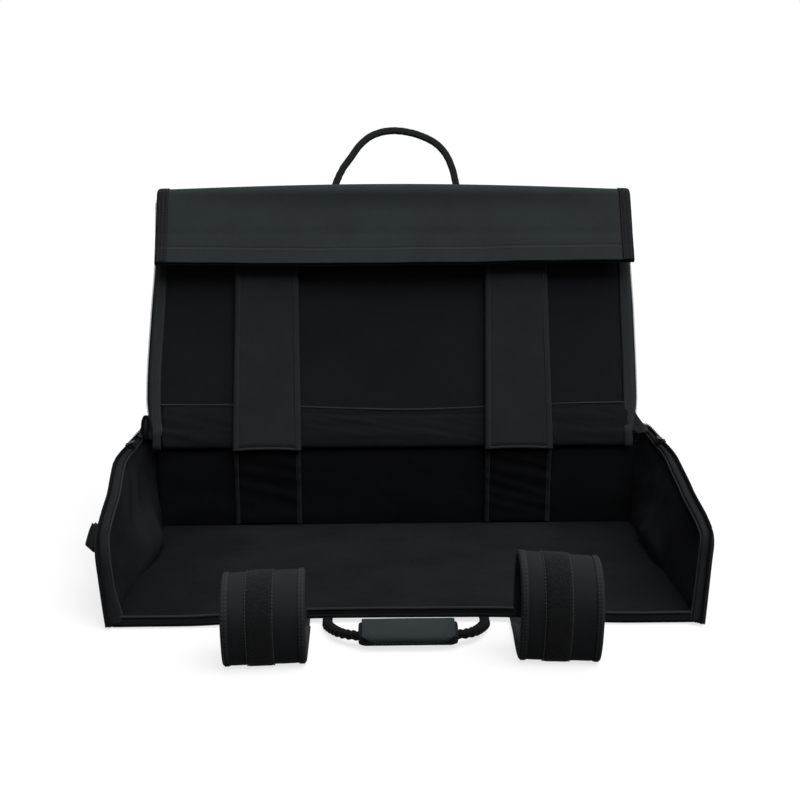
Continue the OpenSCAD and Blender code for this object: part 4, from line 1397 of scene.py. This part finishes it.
def makeFrontHandle():
    spec = bailSpec
    left = [Vector((x / 1000, y / 1000)) for x, y in spec["half"]]
    walk, length = pathWalker(smoothPath(left + [Vector((0, spec["gripAt"]))]
                                         + [Vector((-p.x, p.y)) for p in left[::-1]], 5))

    def place(s, t):
        here, along = walk(t)
        c, d = roundedLoop(s, spec["width"], spec["depth"], 0.8)
        lump = 1 + 0.12 * math.sin(2 * math.pi * (t * length / 0.011 + s))
        spot = here + beside(along) * c * lump
        return Vector((spot.x, spot.y, d * lump + 0.0018))
    newPiece("frontHandleWebbing", tubeMesh(16, 230, place, (0.040, length)), "cordTape", "webbing",
             "front_handle", ("front_handle_webbing",), matrix=bailPlace)
    wide, deep = spec["gripSize"]
    gripSpot = Matrix.Translation((0, spec["gripAt"], spec["gripLift"]))
    gripPlaceAt = bailPlace @ gripSpot @ turnX(spec["gripRoll"])

    def gripAt(s, t):
        x = (t - 0.5) * spec["gripLength"]
        full = 0.84 + 0.16 * ease(min(t, 1 - t) * spec["gripLength"] / 0.010)
        c, d = roundedLoop(s, wide * full, deep * full, 0.50)
        return Vector((x, c, d + 0.0006 * ripple(30 * x, 40 * c, 0, 3)))
    grip = newPiece("gripWrap", tubeMesh(28, 46, gripAt, (0.11, spec["gripLength"])), "bindingTape",
                    "cover_cloth", "front_handle", ("front_handle_grip",), matrix=gripPlaceAt, subdivide=1)

    def coverTurn(y):
        return math.copysign(min(max(abs(y) - spec["turnAt"], 0) / spec["turnRadius"], math.pi / 2), y)

    def coverAt(x, y, lift):
        # the cover lies over the wide face of the grip and turns down round its front and back
        past = max(abs(y) - spec["turnAt"], 0)
        turn = coverTurn(y)
        level = min(max(y, -spec["turnAt"]), spec["turnAt"])
        out = spec["turnRadius"] + lift
        z = deep / 2 * (1 - 0.16 * (abs(level) / (wide / 2)) ** 4) - spec["turnRadius"]
        return Vector((x, level + out * math.sin(turn),
                       z + out * math.cos(turn) - max(past - spec["turnRadius"] * math.pi / 2, 0)))

    def wrapPlace(s, t, side):
        x = (2 * s - 1) * spec["coverHalf"]
        near = spec["coverNear"] + 0.0110 * ease((abs(x) - 0.042) / 0.0240) ** 1.6
        y = near + (spec["coverFar"] - near) * t
        bulge = 0.0016 * hump(x, 0, 0.05) * math.sin(math.pi * t)
        soft = rimEase(s, t, spec["coverFlat"], 0.005)
        return coverAt(x, y, 0.0012 + bulge + side * (0.0004 + 0.0006 * soft))
    flap = newPiece("gripFlap", padMesh(40, 20, wrapPlace, spec["coverFlat"]), "coverCloth", "cover_cloth",
                    replaces=("grip_flap",), matrix=gripPlaceAt, subdivide=1)
    stitches = []
    ring, ringLength = softWalker([(-0.060, 0.0135), (0, 0.0140), (0.060, 0.0135), (0.0620, 0.002),
                                   (0.0570, -0.0125), (0.0440, -0.0200), (0, -0.0218), (-0.0440, -0.0200),
                                   (-0.0570, -0.0125), (-0.0620, 0.002), (-0.060, 0.0135)], 5)

    def ringAt(t):
        here, along = ring(t)
        lift = 0.0024 + 0.0016 * hump(here.x, 0, 0.05) * max(math.cos(here.y / 0.0105), 0)
        turn = coverTurn(here.y)
        ahead = Vector((along.x, along.y * math.cos(turn), -along.y * math.sin(turn)))
        return coverAt(here.x, here.y, lift), ahead, Vector((0, math.sin(turn), math.cos(turn)))
    stitchRow(stitches, ringAt, ringLength)
    seam = newPiece("gripFlapStitches", stitches, "sewingThread", "cover_cloth", matrix=gripPlaceAt)
    for piece in (flap, seam):
        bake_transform(piece)


makeLidHandle()
makeFrontHandle()
for name in ("zip_slider_left", "zip_slider_right", "zip_pull_left", "zip_pull_right"):
    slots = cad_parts[name].data.materials
    slots.clear()
    slots.append(cloth["zipMetal"])
print("handles made")


# Floor, lights and camera

stageSpec = {"camera": (-0.06413, -1.93758, 0.70289), "pitch": 12.015, "yaw": 1.844, "lens": 55.355,
             "floorDiffuse": 0.30, "floorBounce": 0.05, "floorGlow": 0.74, "ambient": 0.06,
             "floorSize": 30, "floorDrop": 0.0006, "sensor": 36, "farthest": 100, "sunStrength": 3.25,
             "sunSpread": 66, "sunFrom": (0.29, -0.22, 0.93)}


def seenRays(tree):
    # rays that meet the pale studio itself: from the camera, mirrored or passing through
    path = tree.nodes.new("ShaderNodeLightPath")
    mirrored = mathNode(tree, "MAXIMUM", path.outputs["Is Glossy Ray"], path.outputs["Is Transmission Ray"])
    return mathNode(tree, "MAXIMUM", path.outputs["Is Camera Ray"], mirrored)


def makeFloor():
    bm = bmesh.new()
    bmesh.ops.create_grid(bm, x_segments=2, y_segments=2, size=stageSpec["floorSize"])
    mesh = bpy.data.meshes.new("studioFloor")
    bm.to_mesh(mesh)
    bm.free()
    floor = bpy.data.objects.new("studioFloor", mesh)
    floor.location.z = -stageSpec["floorDrop"]
    scene.collection.objects.link(floor)
    material = bpy.data.materials.new("studioWhite")
    material.use_nodes = True
    tree = material.node_tree
    tree.nodes.clear()
    out = tree.nodes.new("ShaderNodeOutputMaterial")
    add = tree.nodes.new("ShaderNodeAddShader")
    diffuse = tree.nodes.new("ShaderNodeBsdfDiffuse")
    glow = tree.nodes.new("ShaderNodeEmission")
    seen = seenRays(tree)
    tree.links.new(mathNode(tree, "MULTIPLY", seen, stageSpec["floorGlow"]), glow.inputs["Strength"])
    tone = mathNode(tree, "ADD", stageSpec["floorBounce"],
                    mathNode(tree, "MULTIPLY", seen, stageSpec["floorDiffuse"] - stageSpec["floorBounce"]))
    tree.links.new(tone, diffuse.inputs["Color"])
    tree.links.new(diffuse.outputs[0], add.inputs[0])
    tree.links.new(glow.outputs[0], add.inputs[1])
    tree.links.new(add.outputs[0], out.inputs["Surface"])
    mesh.materials.append(material)


def makeWorld():
    world = bpy.data.worlds.new("studioAir")
    scene.world = world
    world.use_nodes = True
    tree = world.node_tree
    sky = tree.nodes["Background"]
    sky.inputs["Color"].default_value = (1, 1, 1, 1)
    seen = seenRays(tree)
    lit = mathNode(tree, "MULTIPLY", seen, 1 - stageSpec["ambient"])
    tree.links.new(mathNode(tree, "ADD", stageSpec["ambient"], lit), sky.inputs["Strength"])


def makeSun():
    sun = bpy.data.lights.new("keySun", "SUN")
    sun.energy, sun.angle = stageSpec["sunStrength"], math.radians(stageSpec["sunSpread"])
    obj = bpy.data.objects.new("keySun", sun)
    obj.rotation_mode = "QUATERNION"
    obj.rotation_quaternion = Vector(stageSpec["sunFrom"]).to_track_quat("Z", "Y")
    scene.collection.objects.link(obj)


def makeCamera():
    lens = bpy.data.cameras.new("photoCamera")
    lens.lens, lens.sensor_width = stageSpec["lens"], stageSpec["sensor"]
    lens.clip_end = stageSpec["farthest"]
    camera = bpy.data.objects.new("photoCamera", lens)
    camera.location = stageSpec["camera"]
    camera.rotation_euler = (math.radians(90 - stageSpec["pitch"]), 0, math.radians(-stageSpec["yaw"]))
    scene.collection.objects.link(camera)
    scene.camera = camera


makeFloor()
makeWorld()
makeSun()
makeCamera()
print("stage set")
